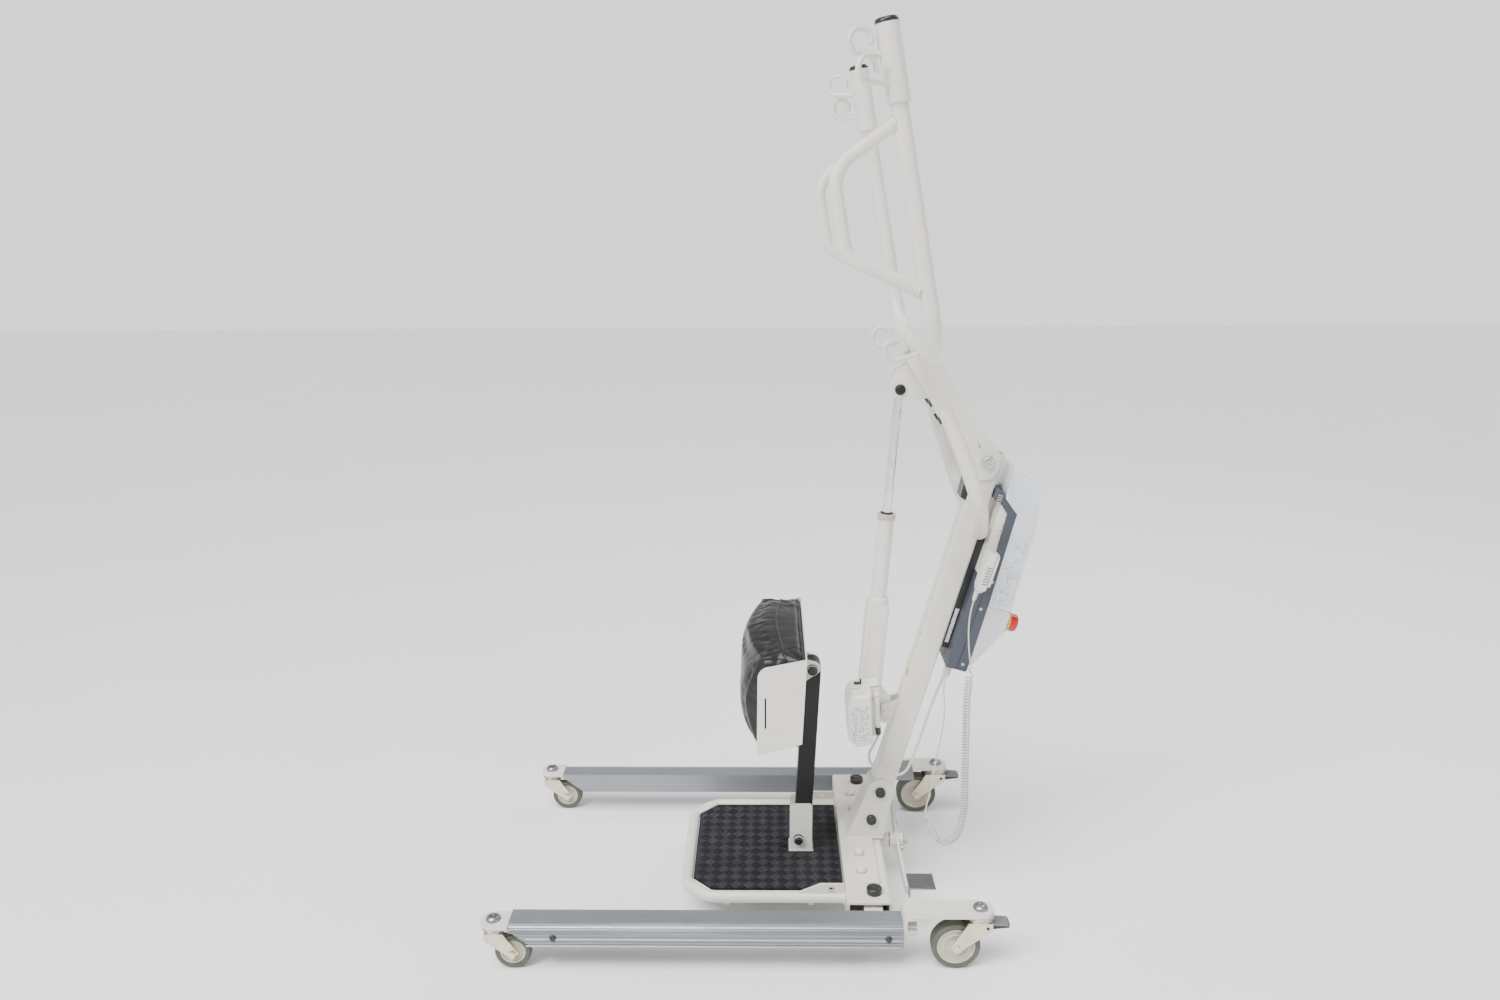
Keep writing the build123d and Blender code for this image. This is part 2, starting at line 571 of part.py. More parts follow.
# ---------------------------------------------------------------- legs
for side_name, side in SIDES:
    outer = side * (LEG_Y + LEG_WIDTH / 2)

    with BuildPart() as leg:
        # extrusion: flat top, rounded outer shoulder, grooved side wall, hollow inside
        with BuildSketch(Plane(origin=(LEG_FRONT_X, 0, 0), x_dir=(0, side, 0), z_dir=(side, 0, 0))):
            with BuildLine():
                y_in, y_out = LEG_Y - LEG_WIDTH / 2, LEG_Y + LEG_WIDTH / 2
                Polyline((y_out, LEG_TOP - 20), (y_out, LEG_LOW), (y_in, LEG_LOW), (y_in, LEG_TOP),
                         (y_out - 22, LEG_TOP))
                ThreePointArc((y_out - 22, LEG_TOP), (y_out - 6, LEG_TOP - 7), (y_out, LEG_TOP - 20))
            make_face()
            with Locations((LEG_Y, (LEG_LOW + LEG_TOP) / 2 - 2)):
                RectangleRounded(LEG_WIDTH - 9, LEG_TOP - LEG_LOW - 12, 5, mode=Mode.SUBTRACT)
            with Locations((y_out, LEG_LOW + 9), (y_out, LEG_LOW + 15), (y_out, LEG_TOP - 22)):
                Rectangle(2.4, 2, mode=Mode.SUBTRACT)
        extrude(amount=side * (LEG_REAR_X - LEG_FRONT_X))
        # front end cut back below the bracket
        with BuildSketch(side_plane(0)):
            with BuildLine():
                Polyline((LEG_FRONT_X - 10, LEG_TOP - 8), (LEG_FRONT_X, LEG_TOP - 8),
                         (LEG_FRONT_X + LEG_NOSE_SLANT, LEG_LOW - 1), (LEG_FRONT_X - 10, LEG_LOW - 1),
                         close=True)
            make_face()
        extrude(amount=500, both=True, mode=Mode.SUBTRACT)
    finish(leg.part, f"leg_{side_name}")

    # brackets: front castor plate, rear castor strap and the inner pivot arm
    with BuildPart() as leg_brackets:
        front_y, rear_y = side * FRONT_CASTOR_Y, side * REAR_CASTOR_Y
        with BuildSketch(Plane.XY.offset(97)):
            with Locations((FRONT_CASTOR_X, front_y)):
                Circle(26)
            with Locations(((FRONT_CASTOR_X + LEG_FRONT_X) / 2, front_y)):
                Rectangle(LEG_FRONT_X - FRONT_CASTOR_X, 52)
            with Locations((FRONT_CASTOR_X, front_y)):
                Circle(6, mode=Mode.SUBTRACT)
        extrude(amount=9)
        # tongue inside the front of the extrusion
        with BuildSketch(Plane.XY.offset(LEG_TOP - 10 - 9)):
            with Locations((LEG_FRONT_X + 30, side * LEG_Y)):
                Rectangle(60, 40)
        extrude(amount=8)
        with BuildSketch(Plane.XY.offset(LEG_TOP - 19)):
            with Locations((LEG_FRONT_X - 4, side * LEG_Y)):
                Rectangle(8, 40)
        extrude(amount=9)
        with BuildSketch(side_plane(rear_y - side * 27)):
            with BuildLine():
                Polyline((LEG_REAR_X, LEG_LOW + 4), (LEG_REAR_X + 8, LEG_LOW + 4), (LEG_REAR_X + 8, 112))
                RadiusArc((LEG_REAR_X + 8, 112), (LEG_REAR_X + 18, 122), 10)
                Polyline((LEG_REAR_X + 18, 122), (REAR_CASTOR_X, 122), (REAR_CASTOR_X, 130),
                         (LEG_REAR_X + 18, 130))
                RadiusArc((LEG_REAR_X + 18, 130), (LEG_REAR_X, 112), -18)
                Line((LEG_REAR_X, 112), (LEG_REAR_X, LEG_LOW + 4))
            make_face()
        extrude(amount=-side * 54)
        with BuildSketch(Plane.XY.offset(122)):
            with Locations((REAR_CASTOR_X, rear_y)):
                Circle(27)
        extrude(amount=8)
        with BuildSketch(Plane.XY.offset(122)):
            with Locations((REAR_CASTOR_X, rear_y)):
                Circle(6)
        extrude(amount=8, mode=Mode.SUBTRACT)
        # pivot arm inside the end of the cross member
        with BuildSketch(Plane.XY.offset(78)):
            with Locations((PIVOT_X, side * PIVOT_Y)):
                Circle(20)
            with Locations((PIVOT_X - 4, side * (PIVOT_Y + 285) / 2)):
                Rectangle(38, 285 - PIVOT_Y)
            with Locations((PIVOT_X, side * PIVOT_Y)):
                Circle(10 + BORE_GAP, mode=Mode.SUBTRACT)
        extrude(amount=24)
    finish(leg_brackets.part, f"leg_brackets_{side_name}")

    # castor bolts, the round plugs on the leg's side and the rear foot bumper
    with BuildPart() as leg_fasteners:
        for x, y, z, r in ((FRONT_CASTOR_X, front_y, 106, 10), (REAR_CASTOR_X, rear_y, 130, 11)):
            with BuildSketch(Plane.XY.offset(z - 15)):
                with Locations((x, y)):
                    Circle(6)
            extrude(amount=15)
            with BuildSketch(Plane.XY.offset(z)):
                with Locations((x, y)):
                    RegularPolygon(r, 6)
            extrude(amount=7)
        for x in (LEG_FRONT_X + 92, LEG_REAR_X - 30):
            plane, length = along_y(x, LEG_LOW + 24, outer, outer + side * 3)
            with BuildSketch(plane):
                Circle(6)
            extrude(amount=length)
        with BuildSketch(Plane(origin=(LEG_REAR_X + 8, rear_y, 82), z_dir=(1, 0, 0))):
            Circle(13)
        extrude(amount=22)
    finish(leg_fasteners.part, f"leg_fasteners_{side_name}")

# ---------------------------------------------------------------- castors
CASTORS = {
    "front": (FRONT_CASTOR_X, FRONT_CASTOR_Y, FRONT_WHEEL, FRONT_TRAIL, 25, 97 - 0.3, 22),
    "rear": (REAR_CASTOR_X, REAR_CASTOR_Y, REAR_WHEEL, -REAR_TRAIL, 32, 122 - 0.3, 27),
}
BRAKE_X, BRAKE_Z, BRAKE_PIN = REAR_CASTOR_X + 13, 97, 3.5
for end, (cx, cy, wheel_dia, trail, tread, race_top, race_r) in CASTORS.items():
    for side_name, side in SIDES:
        y = side * cy
        axle_x, axle_z = cx + trail, wheel_dia / 2
        inside = tread / 2 + 2.5
        crown = race_top - 14

        with BuildPart() as fork:
            # swivel race: an upper and a lower cup
            with BuildSketch(Plane.XY.offset(race_top - 7)):
                with Locations((cx, y)):
                    Circle(race_r)
                    Circle(6 + BORE_GAP, mode=Mode.SUBTRACT)
            extrude(amount=7)
            with BuildSketch(Plane.XY.offset(crown)):
                with Locations((cx, y)):
                    Circle(race_r - 3)
            extrude(amount=race_top - 7 - crown)
            # two cheeks down to the axle, joined by the crown
            head = 1 if trail > 0 else -1
            for cheek in (1, -1):
                start_y = y + cheek * inside
                with BuildSketch(side_plane(start_y)):
                    with BuildLine():
                        Polyline((cx - head * (race_r - 4), crown), (cx + head * (race_r - 2), crown),
                                 (axle_x + head * 13, axle_z + 2), (axle_x, axle_z - 12),
                                 (axle_x - head * 13, axle_z - 2), (cx - head * (race_r - 4), crown - 16),
                                 close=True)
                    make_face()
                extrude(amount=-cheek * 3)
            with BuildSketch(Plane.XY.offset(crown - 4)):
                with Locations((cx, y)):
                    Rectangle(2 * race_r - 8, 2 * inside + 6)
            extrude(amount=4)
            # clearance for the tyre under the crown
            plane, length = along_y(axle_x, axle_z, y - tread / 2 - 2.4, y + tread / 2 + 2.4)
            with BuildSketch(plane):
                Circle(wheel_dia / 2 + 2)
            extrude(amount=length, mode=Mode.SUBTRACT)
            # axle bolt with its head and nut
            plane, length = along_y(axle_x, axle_z, y - inside - 6, y + inside + 6)
            with BuildSketch(plane):
                Circle(5)
            extrude(amount=length)
            for cheek in (1, -1):
                plane, length = along_y(axle_x, axle_z, y + cheek * (inside + 3), y + cheek * (inside + 8))
                with BuildSketch(plane):
                    RegularPolygon(8, 6)
                extrude(amount=length)
            # bore for the brake pedal's pin
            if end == "rear":
                plane, length = along_y(BRAKE_X, BRAKE_Z, y - 40, y + 40)
                with BuildSketch(plane):
                    Circle(BRAKE_PIN + BORE_GAP)
                extrude(amount=length, mode=Mode.SUBTRACT)
        finish(fork.part, f"castor_fork_{end}_{side_name}")

        with BuildPart() as wheel:
            # the core, then the tyre round it as its own solid
            plane, length = along_y(axle_x, axle_z, y - tread / 2 + 1, y + tread / 2 - 1)
            with BuildSketch(plane):
                Circle(wheel_dia / 2 - 11)
                Circle(5 + BORE_GAP, mode=Mode.SUBTRACT)
            extrude(amount=length)
            core = wheel.part
        with BuildPart() as tyre:
            plane, length = along_y(axle_x, axle_z, y - tread / 2, y + tread / 2)
            with BuildSketch(plane):
                Circle(wheel_dia / 2)
                Circle(wheel_dia / 2 - 11, mode=Mode.SUBTRACT)
            extrude(amount=length)
            fillet(tyre.edges().filter_by(GeomType.CIRCLE)
                   .filter_by(lambda e: e.radius > wheel_dia / 2 - 1), 4)
        finish(Compound(children=[core.solid(), tyre.part.solid()]), f"castor_wheel_{end}_{side_name}")

# brake pedals on the rear castors: a tread that tips down on a pin through the fork's cheeks
for side_name, side in SIDES:
    y = side * REAR_CASTOR_Y
    with BuildPart() as brake_pedal:
        with BuildSketch(side_plane(y)):
            with BuildLine():
                Polyline((BRAKE_X - 5, BRAKE_Z - 5), (BRAKE_X + 5, BRAKE_Z - 6), (BRAKE_X + 44, BRAKE_Z - 2),
                         (BRAKE_X + 44, BRAKE_Z + 4), (BRAKE_X + 2, BRAKE_Z + 6), (BRAKE_X - 5, BRAKE_Z + 5),
                         close=True)
            make_face()
        extrude(amount=15, both=True)
        plane, length = along_y(BRAKE_X, BRAKE_Z, y - 21, y + 21)
        with BuildSketch(plane):
            Circle(BRAKE_PIN)
        extrude(amount=length)
    finish(brake_pedal.part, f"brake_pedal_{side_name}")

# ---------------------------------------------------------------- foot pedal rocker that spreads the legs
ROCKER_TILT, PEDAL_BEND, PEDAL_REACH = 10.4, 12.8, 195


def on_rocker(side, reach, up=0.0):
    """(y, z) of a point out along one arm of the rocker, above its centre line."""
    a = radians(PEDAL_BEND + side * ROCKER_TILT)
    return (side * (reach * cos(a) - up * sin(a)), ROCKER_Z + reach * sin(a) + up * cos(a))


with BuildPart() as rocker_bar:
    rocker_plane = Plane(origin=(ROCKER_X - 8, 0, 0), x_dir=(0, 1, 0), z_dir=(1, 0, 0))
    with BuildSketch(rocker_plane):
        with BuildLine():
            Polyline(on_rocker(1, 0, -16), on_rocker(1, PEDAL_REACH + 14, -12),
                     on_rocker(1, PEDAL_REACH + 14, 6), on_rocker(1, 18, 18), on_rocker(-1, 18, 18),
                     on_rocker(-1, PEDAL_REACH + 14, 6), on_rocker(-1, PEDAL_REACH + 14, -12),
                     on_rocker(-1, 0, -16), close=True)
        make_face()
    extrude(amount=6)
    hub_plane = Plane(origin=(ROCKER_X - 20, 0, ROCKER_Z), z_dir=(1, 0, 0))
    with BuildSketch(hub_plane):
        Circle(18)
    extrude(amount=30)
    with BuildSketch(hub_plane):
        Circle(8 + BORE_GAP)
    extrude(amount=30, mode=Mode.SUBTRACT)
finish(rocker_bar.part, "rocker_bar")

with BuildPart() as foot_pedals:
    # a steel tread and its folded lip on the rear of each arm
    for side in (1, -1):
        a = radians(PEDAL_BEND + side * ROCKER_TILT)
        for low, high, x_from, depth in ((-12, 6, ROCKER_X - 2, 3), (6, 9.5, ROCKER_X - 2, 56)):
            with BuildSketch(Plane(origin=(x_from, 0, 0), x_dir=(0, 1, 0), z_dir=(1, 0, 0))):
                with BuildLine():
                    Polyline(on_rocker(side, PEDAL_REACH - 32, low), on_rocker(side, PEDAL_REACH + 26, low),
                             on_rocker(side, PEDAL_REACH + 26, high), on_rocker(side, PEDAL_REACH - 32, high),
                             close=True)
                make_face()
            extrude(amount=depth)
finish(foot_pedals.part, "foot_pedals")

# ---------------------------------------------------------------- footplate
PLATE_REAR_X = CROSS_FRONT_X
CORNER_X, CORNER_Y = PLATE_FRONT_X + 48, PLATE_Y - 48
with BuildPart() as footplate_frame:
    loop = [(PLATE_REAR_X, PLATE_Y, PLATE_Z), (CORNER_X, PLATE_Y, PLATE_Z),
            (PLATE_FRONT_X, CORNER_Y, PLATE_Z), (PLATE_FRONT_X, -CORNER_Y, PLATE_Z),
            (CORNER_X, -PLATE_Y, PLATE_Z), (PLATE_REAR_X, -PLATE_Y, PLATE_Z)]
    with BuildLine() as loop_line:
        FilletPolyline(*loop, radius=48)
    with BuildSketch(tangent_plane(loop_line.line)):
        Circle(PLATE_TUBE / 2)
    sweep(path=loop_line.line)
    # two cross rails carry the tray
    for x in (-90, 90):
        plane, length = along_y(x, PLATE_Z - 10, -PLATE_Y, PLATE_Y)
        with BuildSketch(plane):
            Rectangle(20, 13)
        extrude(amount=length)
    # hanger plates on the side tubes, each with a hole
    for side in (1, -1):
        with BuildSketch(side_plane(side * (PLATE_Y + 1))):
            with BuildLine():
                Polyline((60, PLATE_Z + 12), (110, 111), (PLATE_REAR_X, 111), (PLATE_REAR_X, PLATE_Z),
                         (60, PLATE_Z), close=True)
            make_face()
            with Locations((133, 100)):
                Circle(4, mode=Mode.SUBTRACT)
        extrude(amount=-side * 5)
finish(footplate_frame.part, "footplate_frame")

MAT_FRONT_X, MAT_HALF, MAT_CUT = PLATE_FRONT_X + 14, PLATE_Y - 14, 44


def deck_outline(front_x, rear_x, half, cut):
    """Corners of the tray and mat, with the two front corners cut off."""
    return [(rear_x, half), (front_x + cut, half), (front_x, half - cut), (front_x, cut - half),
            (front_x + cut, -half), (rear_x, -half)]


with BuildPart() as footplate_tray:
    with BuildSketch(Plane.XY.offset(MAT_TOP - 7)):
        with BuildLine():
            Polyline(*deck_outline(MAT_FRONT_X, PLATE_REAR_X - 1, MAT_HALF, MAT_CUT), close=True)
        make_face()
    extrude(amount=3)
finish(footplate_tray.part, "footplate_tray")

with BuildPart() as footplate_mat:
    with BuildSketch(Plane.XY.offset(MAT_TOP - 4)):
        with BuildLine():
            Polyline(*deck_outline(MAT_FRONT_X, PLATE_REAR_X - 2, MAT_HALF, MAT_CUT), close=True)
        make_face()
        with Locations((74, 0)):
            Rectangle(58, 56, mode=Mode.SUBTRACT)
    extrude(amount=4)
finish(footplate_mat.part, "footplate_mat")

# ---------------------------------------------------------------- knee post
CLEVIS_X, CLEVIS_TOP, CLEVIS_GAP = 74, 200, 0.6
with BuildPart() as knee_post_clevis:
    with BuildSketch(Plane.XY.offset(MAT_TOP - 4)):
        with Locations((CLEVIS_X, 0)):
            Rectangle(54, 52)
    extrude(amount=5)
    for side in (1, -1):
        with BuildSketch(side_plane(side * (POST_SIZE / 2 + CLEVIS_GAP))):
            with Locations((CLEVIS_X, (MAT_TOP + CLEVIS_TOP) / 2)):
                RectangleRounded(50, CLEVIS_TOP - MAT_TOP, 7)
        extrude(amount=-side * 5)
    plane, length = along_y(*KNEE_BASE, -POST_SIZE / 2 - 5.6, POST_SIZE / 2 + 5.6)
    with BuildSketch(plane):
        Circle(5)
    extrude(amount=length)
    for side in (1, -1):
        plane, length = along_y(*KNEE_BASE, side * (POST_SIZE / 2 + 5.6), side * (POST_SIZE / 2 + 15))
        with BuildSketch(plane):
            Circle(11)
        extrude(amount=length)
finish(knee_post_clevis.part, "knee_post_clevis")

POST_LOW = -435
with BuildPart() as knee_post:
    with BuildSketch(side_plane(0)):
        with BuildLine():
            half = POST_SIZE / 2
            Polyline(on_knee(0, -half), on_knee(POST_LOW, -half), on_knee(POST_LOW, half), on_knee(0, half))
            ThreePointArc(on_knee(0, half), on_knee(half, 0), on_knee(0, -half))
        make_face()
    extrude(amount=POST_SIZE / 2, both=True)
    for centre, radius in ((KNEE_PIVOT, 6), (KNEE_BASE, 5)):
        plane, length = along_y(*centre, -40, 40)
        with BuildSketch(plane):
            Circle(radius + BORE_GAP)
        extrude(amount=length, mode=Mode.SUBTRACT)
    # socket for the locking plunger, low on the post's far side
    plane, length = along_y(*on_knee(-300), POST_SIZE / 2 - 12, POST_SIZE / 2)
    with BuildSketch(plane):
        Circle(6 + BORE_GAP)
    extrude(amount=length, mode=Mode.SUBTRACT)
finish(knee_post.part, "knee_post")

with BuildPart() as knee_post_plunger:
    plane, length = along_y(*on_knee(-300), POST_SIZE / 2 - 11, POST_SIZE / 2 + 12)
    with BuildSketch(plane):
        Circle(6)
    extrude(amount=length)
    plane, length = along_y(*on_knee(-300), POST_SIZE / 2 + 12, POST_SIZE / 2 + 28)
    with BuildSketch(plane):
        Circle(14)
    extrude(amount=length)
    fillet(knee_post_plunger.edges().filter_by(GeomType.CIRCLE).group_by(Axis.Y)[-1], 4)
finish(knee_post_plunger.part, "knee_post_plunger")

# knee pad: a bent steel shell, its bracket on the post, and the cushion
BACK_OFF, SHEET = -22.7, 3
SHELL_TOP, SHELL_CORNER = 603, 26
with BuildPart() as knee_pad_shell:
    for side in (1, -1):
        with BuildSketch(side_plane(side * (SHELL_HALF - SHEET))):
            with BuildLine():
                Polyline(on_knee(92, BACK_OFF), on_knee(-94, BACK_OFF), (-19, 408), (-24, 414),
                         (-22, SHELL_TOP - SHELL_CORNER))
                Line((-22 + SHELL_CORNER, SHELL_TOP), on_knee(92, BACK_OFF))
                ThreePointArc((-22, SHELL_TOP - SHELL_CORNER),
                              (-22 + SHELL_CORNER * (1 - cos(radians(45))),
                               SHELL_TOP - SHELL_CORNER * (1 - sin(radians(45)))),
                              (-22 + SHELL_CORNER, SHELL_TOP))
            make_face()
            # upright slot near the front edge
            with Locations((-6, 501)):
                Rectangle(3.5, 68, mode=Mode.SUBTRACT)
        extrude(amount=-side * SHEET)
    with BuildSketch(side_plane(0)):
        with BuildLine():
            Polyline(on_knee(92, BACK_OFF), on_knee(-94, BACK_OFF), on_knee(-94, BACK_OFF - SHEET),
                     on_knee(92, BACK_OFF - SHEET), close=True)
        make_face()
    extrude(amount=SHELL_HALF - SHEET, both=True)
finish(knee_pad_shell.part, "knee_pad_shell")

with BuildPart() as knee_pad_bracket:
    for side in (1, -1):
        with BuildSketch(side_plane(side * (POST_SIZE / 2 + CLEVIS_GAP))):
            with BuildLine():
                ear_low, ear_high = on_knee(-34, BACK_OFF), on_knee(24, BACK_OFF)
                Polyline((KNEE_PIVOT[0] + 17, KNEE_PIVOT[1] - 4), ear_low, ear_high,
                         (KNEE_PIVOT[0] + 5, KNEE_PIVOT[1] + 18))
                ThreePointArc((KNEE_PIVOT[0] + 5, KNEE_PIVOT[1] + 18),
                              (KNEE_PIVOT[0] + 16, KNEE_PIVOT[1] + 9),
                              (KNEE_PIVOT[0] + 17, KNEE_PIVOT[1] - 4))
            make_face()
        extrude(amount=-side * 5)
    plane, length = along_y(*KNEE_PIVOT, -POST_SIZE / 2 - 5.6, POST_SIZE / 2 + 5.6)
    with BuildSketch(plane):
        Circle(6)
    extrude(amount=length)
    for side in (1, -1):
        plane, length = along_y(*KNEE_PIVOT, side * (POST_SIZE / 2 + 5.6), side * (POST_SIZE / 2 + 12))
        with BuildSketch(plane):
            Circle(12)
        extrude(amount=length)
finish(knee_pad_bracket.part, "knee_pad_bracket")

# cushion: a pillow whose front bulges between its four corners, made of two bulged blocks, one curved
# across the lift and one curved up the pad
CUSHION_RIM, CUSHION_CROWN, CUSHION_HEIGHT, CUSHION_ROUND = -118, -157, 200, 10
CUSHION_REAR, CUSHION_HALF = BACK_OFF - SHEET - 0.3, SHELL_HALF - SHEET - 0.3
low_x, low_z = on_knee(-106)
knee_axis = (sin(radians(KNEE_LEAN)), 0, cos(radians(KNEE_LEAN)))
knee_rear = (cos(radians(KNEE_LEAN)), 0, -sin(radians(KNEE_LEAN)))
bulges = []
for z_dir, low, high in ((knee_axis, -CUSHION_HALF, CUSHION_HALF), ((0, -1, 0), 0, CUSHION_HEIGHT)):
    with BuildPart() as bulge:
        with BuildSketch(Plane(origin=(low_x, 0, low_z), x_dir=knee_rear, z_dir=z_dir)):
            with BuildLine():
                Polyline((CUSHION_RIM, low), (CUSHION_REAR, low), (CUSHION_REAR, high), (CUSHION_RIM, high))
                ThreePointArc((CUSHION_RIM, low), (CUSHION_CROWN, (low + high) / 2), (CUSHION_RIM, high))
            make_face()
        if low == 0:
            extrude(amount=CUSHION_HALF, both=True)
        else:
            extrude(amount=CUSHION_HEIGHT)
        front_corners = bulge.edges().filter_by(GeomType.LINE).sort_by(Axis((0, 0, 0), knee_rear))[0:2]
        fillet(bulge.edges().filter_by(GeomType.CIRCLE) + front_corners, CUSHION_ROUND)
    bulges.append(bulge.part)
with BuildPart() as knee_pad_cushion:
    for block in bulges:
        add(block)
finish(knee_pad_cushion.part, "knee_pad_cushion")

# ---------------------------------------------------------------- control box on the mast
def mast_outline(points):
    """Corners in the side view from (s, t) points."""
    return [on_mast(s, t) for s, t in points]


with BuildPart() as control_box_rail:
    with BuildSketch(side_plane(0)):
        with BuildLine():
            Polyline(*mast_outline([(452, 25), (452, 41), (719, 41), (719, 25)]), close=True)
        make_face()
    extrude(amount=20, both=True)
finish(control_box_rail.part, "control_box_rail")

with BuildPart() as control_box_body:
    with BuildSketch(side_plane(0)):
        with BuildLine():
            Polyline(*mast_outline([(421, 41), (421, 87), (575, 85), (782, 79), (808, 46), (821, 38),
                                    (821, 26), (800, 26), (797, 40), (779, 60), (640, 66), (640, 41)]),
                     close=True)
        make_face()
    extrude(amount=BOX_HALF, both=True)
    fillet(control_box_body.edges().filter_by(Axis.Y).group_by(Axis.Z)[0], 5)
finish(control_box_body.part, "control_box_body")

with BuildPart() as control_unit_cover:
    with BuildSketch(side_plane(0)):
        with BuildLine():
            Polyline(*mast_outline([(640, 41), (640, 66), (779, 60), (794, 43), (794, 41)]), close=True)
        make_face()
    extrude(amount=BOX_HALF - 3, both=True)
    # hook that the handset hangs on
    with BuildSketch(side_plane(-BOX_HALF + 3)):
        with BuildLine():
            Polyline(*mast_outline([(668, 44), (668, 56), (690, 56), (690, 44)]), close=True)
        make_face()
    extrude(amount=7)
finish(control_unit_cover.part, "control_unit_cover")

STOP_S, STOP_Y = 545, -18
STOP_FACE, STOP_RIM = 137, 141
rear_dir = (cos(radians(LEAN)), 0, -sin(radians(LEAN)))


def rear_plane(s, t, y):
    """Plane square to the mast's rear direction at (s, t, y)."""
    x, z = on_mast(s, t)
    return Plane(origin=(x, y, z), z_dir=rear_dir)


with BuildPart() as control_box_shell:
    with BuildSketch(side_plane(0)):
        with BuildLine():
            Polyline(*mast_outline([(438, 86.8), (438, 92), (478, 112), (527, STOP_FACE), (575, STOP_FACE),
                                    (575, 85)]), close=True)
        make_face()
    extrude(amount=BOX_HALF - 1, both=True)
    fillet(control_box_shell.edges().filter_by(Axis.Y).group_by(Axis.X)[-1], 8)
    with BuildSketch(rear_plane(STOP_S, STOP_FACE - 1, STOP_Y)):
        Circle(17)
    extrude(amount=STOP_RIM - STOP_FACE + 1)
    with BuildSketch(rear_plane(STOP_S, STOP_RIM, STOP_Y)):
        Circle(6 + BORE_GAP)
    extrude(amount=-30, mode=Mode.SUBTRACT)
finish(control_box_shell.part, "control_box_shell")

with BuildPart() as emergency_stop_button:
    with BuildSketch(rear_plane(STOP_S, STOP_RIM - 22, STOP_Y)):
        Circle(6)
    extrude(amount=28)
    with BuildSketch(rear_plane(STOP_S, STOP_RIM + 6, STOP_Y)):
        Circle(19)
    extrude(amount=19)
    fillet(emergency_stop_button.edges().filter_by(GeomType.CIRCLE).group_by(Axis.X)[-1], 7)
finish(emergency_stop_button.part, "emergency_stop_button")

with BuildPart() as battery_pack:
    with BuildSketch(side_plane(0)):
        with BuildLine():
            Polyline(*mast_outline([(576, 85.6), (576, 136), (760, 128), (838, 118), (862, 104), (876, 72),
                                    (876, 44), (822.5, 44), (809, 47), (783, 79.8)]), close=True)
        make_face()
    extrude(amount=BOX_HALF, both=True)
    fillet(battery_pack.edges().filter_by(Axis.Y).group_by(Axis.X)[-1], 8)
finish(battery_pack.part, "battery_pack")

# ---------------------------------------------------------------- handset
HANDSET_Y, HANDSET_NEAR = -56.2, 58
HANDSET_S = (612, 704)
with BuildPart() as handset_body:
    with BuildSketch(side_plane(HANDSET_Y)):
        with BuildLine():
            Polyline(*mast_outline([(HANDSET_S[0], 34), (HANDSET_S[0], 50), (HANDSET_S[0] + 10, 60),
                                    (HANDSET_S[1], 60), (HANDSET_S[1], 25), (HANDSET_S[0] + 10, 25)]),
                     close=True)
        make_face()
    extrude(amount=HANDSET_NEAR)
    BUTTON_S, BUTTON_Y = (684, 656), HANDSET_Y - HANDSET_NEAR / 2
    for s in BUTTON_S:
        with BuildSketch(rear_plane(s, 60, BUTTON_Y)):
            Circle(9.4)
        extrude(amount=-5, mode=Mode.SUBTRACT)
finish(handset_body.part, "handset_body")

for s, name in zip(BUTTON_S, ("handset_up_button", "handset_down_button")):
    with BuildPart() as button:
        with BuildSketch(rear_plane(s, 57, BUTTON_Y)):
            Circle(9)
        extrude(amount=5.5)
        fillet(button.edges().filter_by(GeomType.CIRCLE).group_by(Axis.X)[-1], 1.2)
    finish(button.part, name)

# ---------------------------------------------------------------- cords
mast_down = (-sin(radians(LEAN)), 0, -cos(radians(LEAN)))
PLUG_S, PLUG_T, PLUG_LONG = 421, 53, 25
PLUG_YS = (-34, -16)
with BuildPart() as cord_plugs:
    # boot under the handset, and two plugs under the control box
    x, z = on_mast(HANDSET_S[0], 42)
    with BuildSketch(Plane(origin=(x, BUTTON_Y, z), z_dir=mast_down)):
        Circle(5)
    extrude(amount=22, taper=5)
    for y in PLUG_YS:
        x, z = on_mast(PLUG_S, PLUG_T)
        with BuildSketch(Plane(origin=(x, y, z), z_dir=mast_down)):
            Circle(6)
        extrude(amount=PLUG_LONG, taper=2)
finish(cord_plugs.part, "cord_plugs")

boot_x, boot_z = on_mast(HANDSET_S[0] - 22, 42)
plug_x, plug_z = on_mast(PLUG_S - PLUG_LONG, PLUG_T)
upper_lead = [(boot_x, BUTTON_Y, boot_z), (423, -85, 682), (421, -84, 650), (422, -84, 618), (425, -84, 588),
              (429, -84, 560)]
coil_route = [(429, -84, 560), (425, -83, 512), (424, -82, 462), (426, -81, 406), (427, -80, 348),
              (428.5, -79, 290), (431, -77, 232), (427, -75, 186), (418, -71, 150), (402, -62, 128),
              (384, -52, 126), (368, -44, 143), (358, -39, 166), (351, -36, 188)]
lower_lead = [(351, -36, 188), (355, -35, 208), (362, -34, 240), (368, -34, 292), (377, -34, 346),
              (386, -35, 404), (386, -35, 456), (380.5, -34, 492), (plug_x, PLUG_YS[0], plug_z)]
motor_route = [(237.2, -85.8, 401), (230, -79, 377), (219, -70, 350), (222, -60, 322), (240, -50, 300),
               (264, -45, 287), (290, -41, 281), (308, -37, 291), (318, -33, 314), (328, -29, 341),
               (342, -24, 385), (356, -20, 430), (368, -17, 466), (378.6, -16, 491.5),
               (plug_x, PLUG_YS[1], plug_z)]


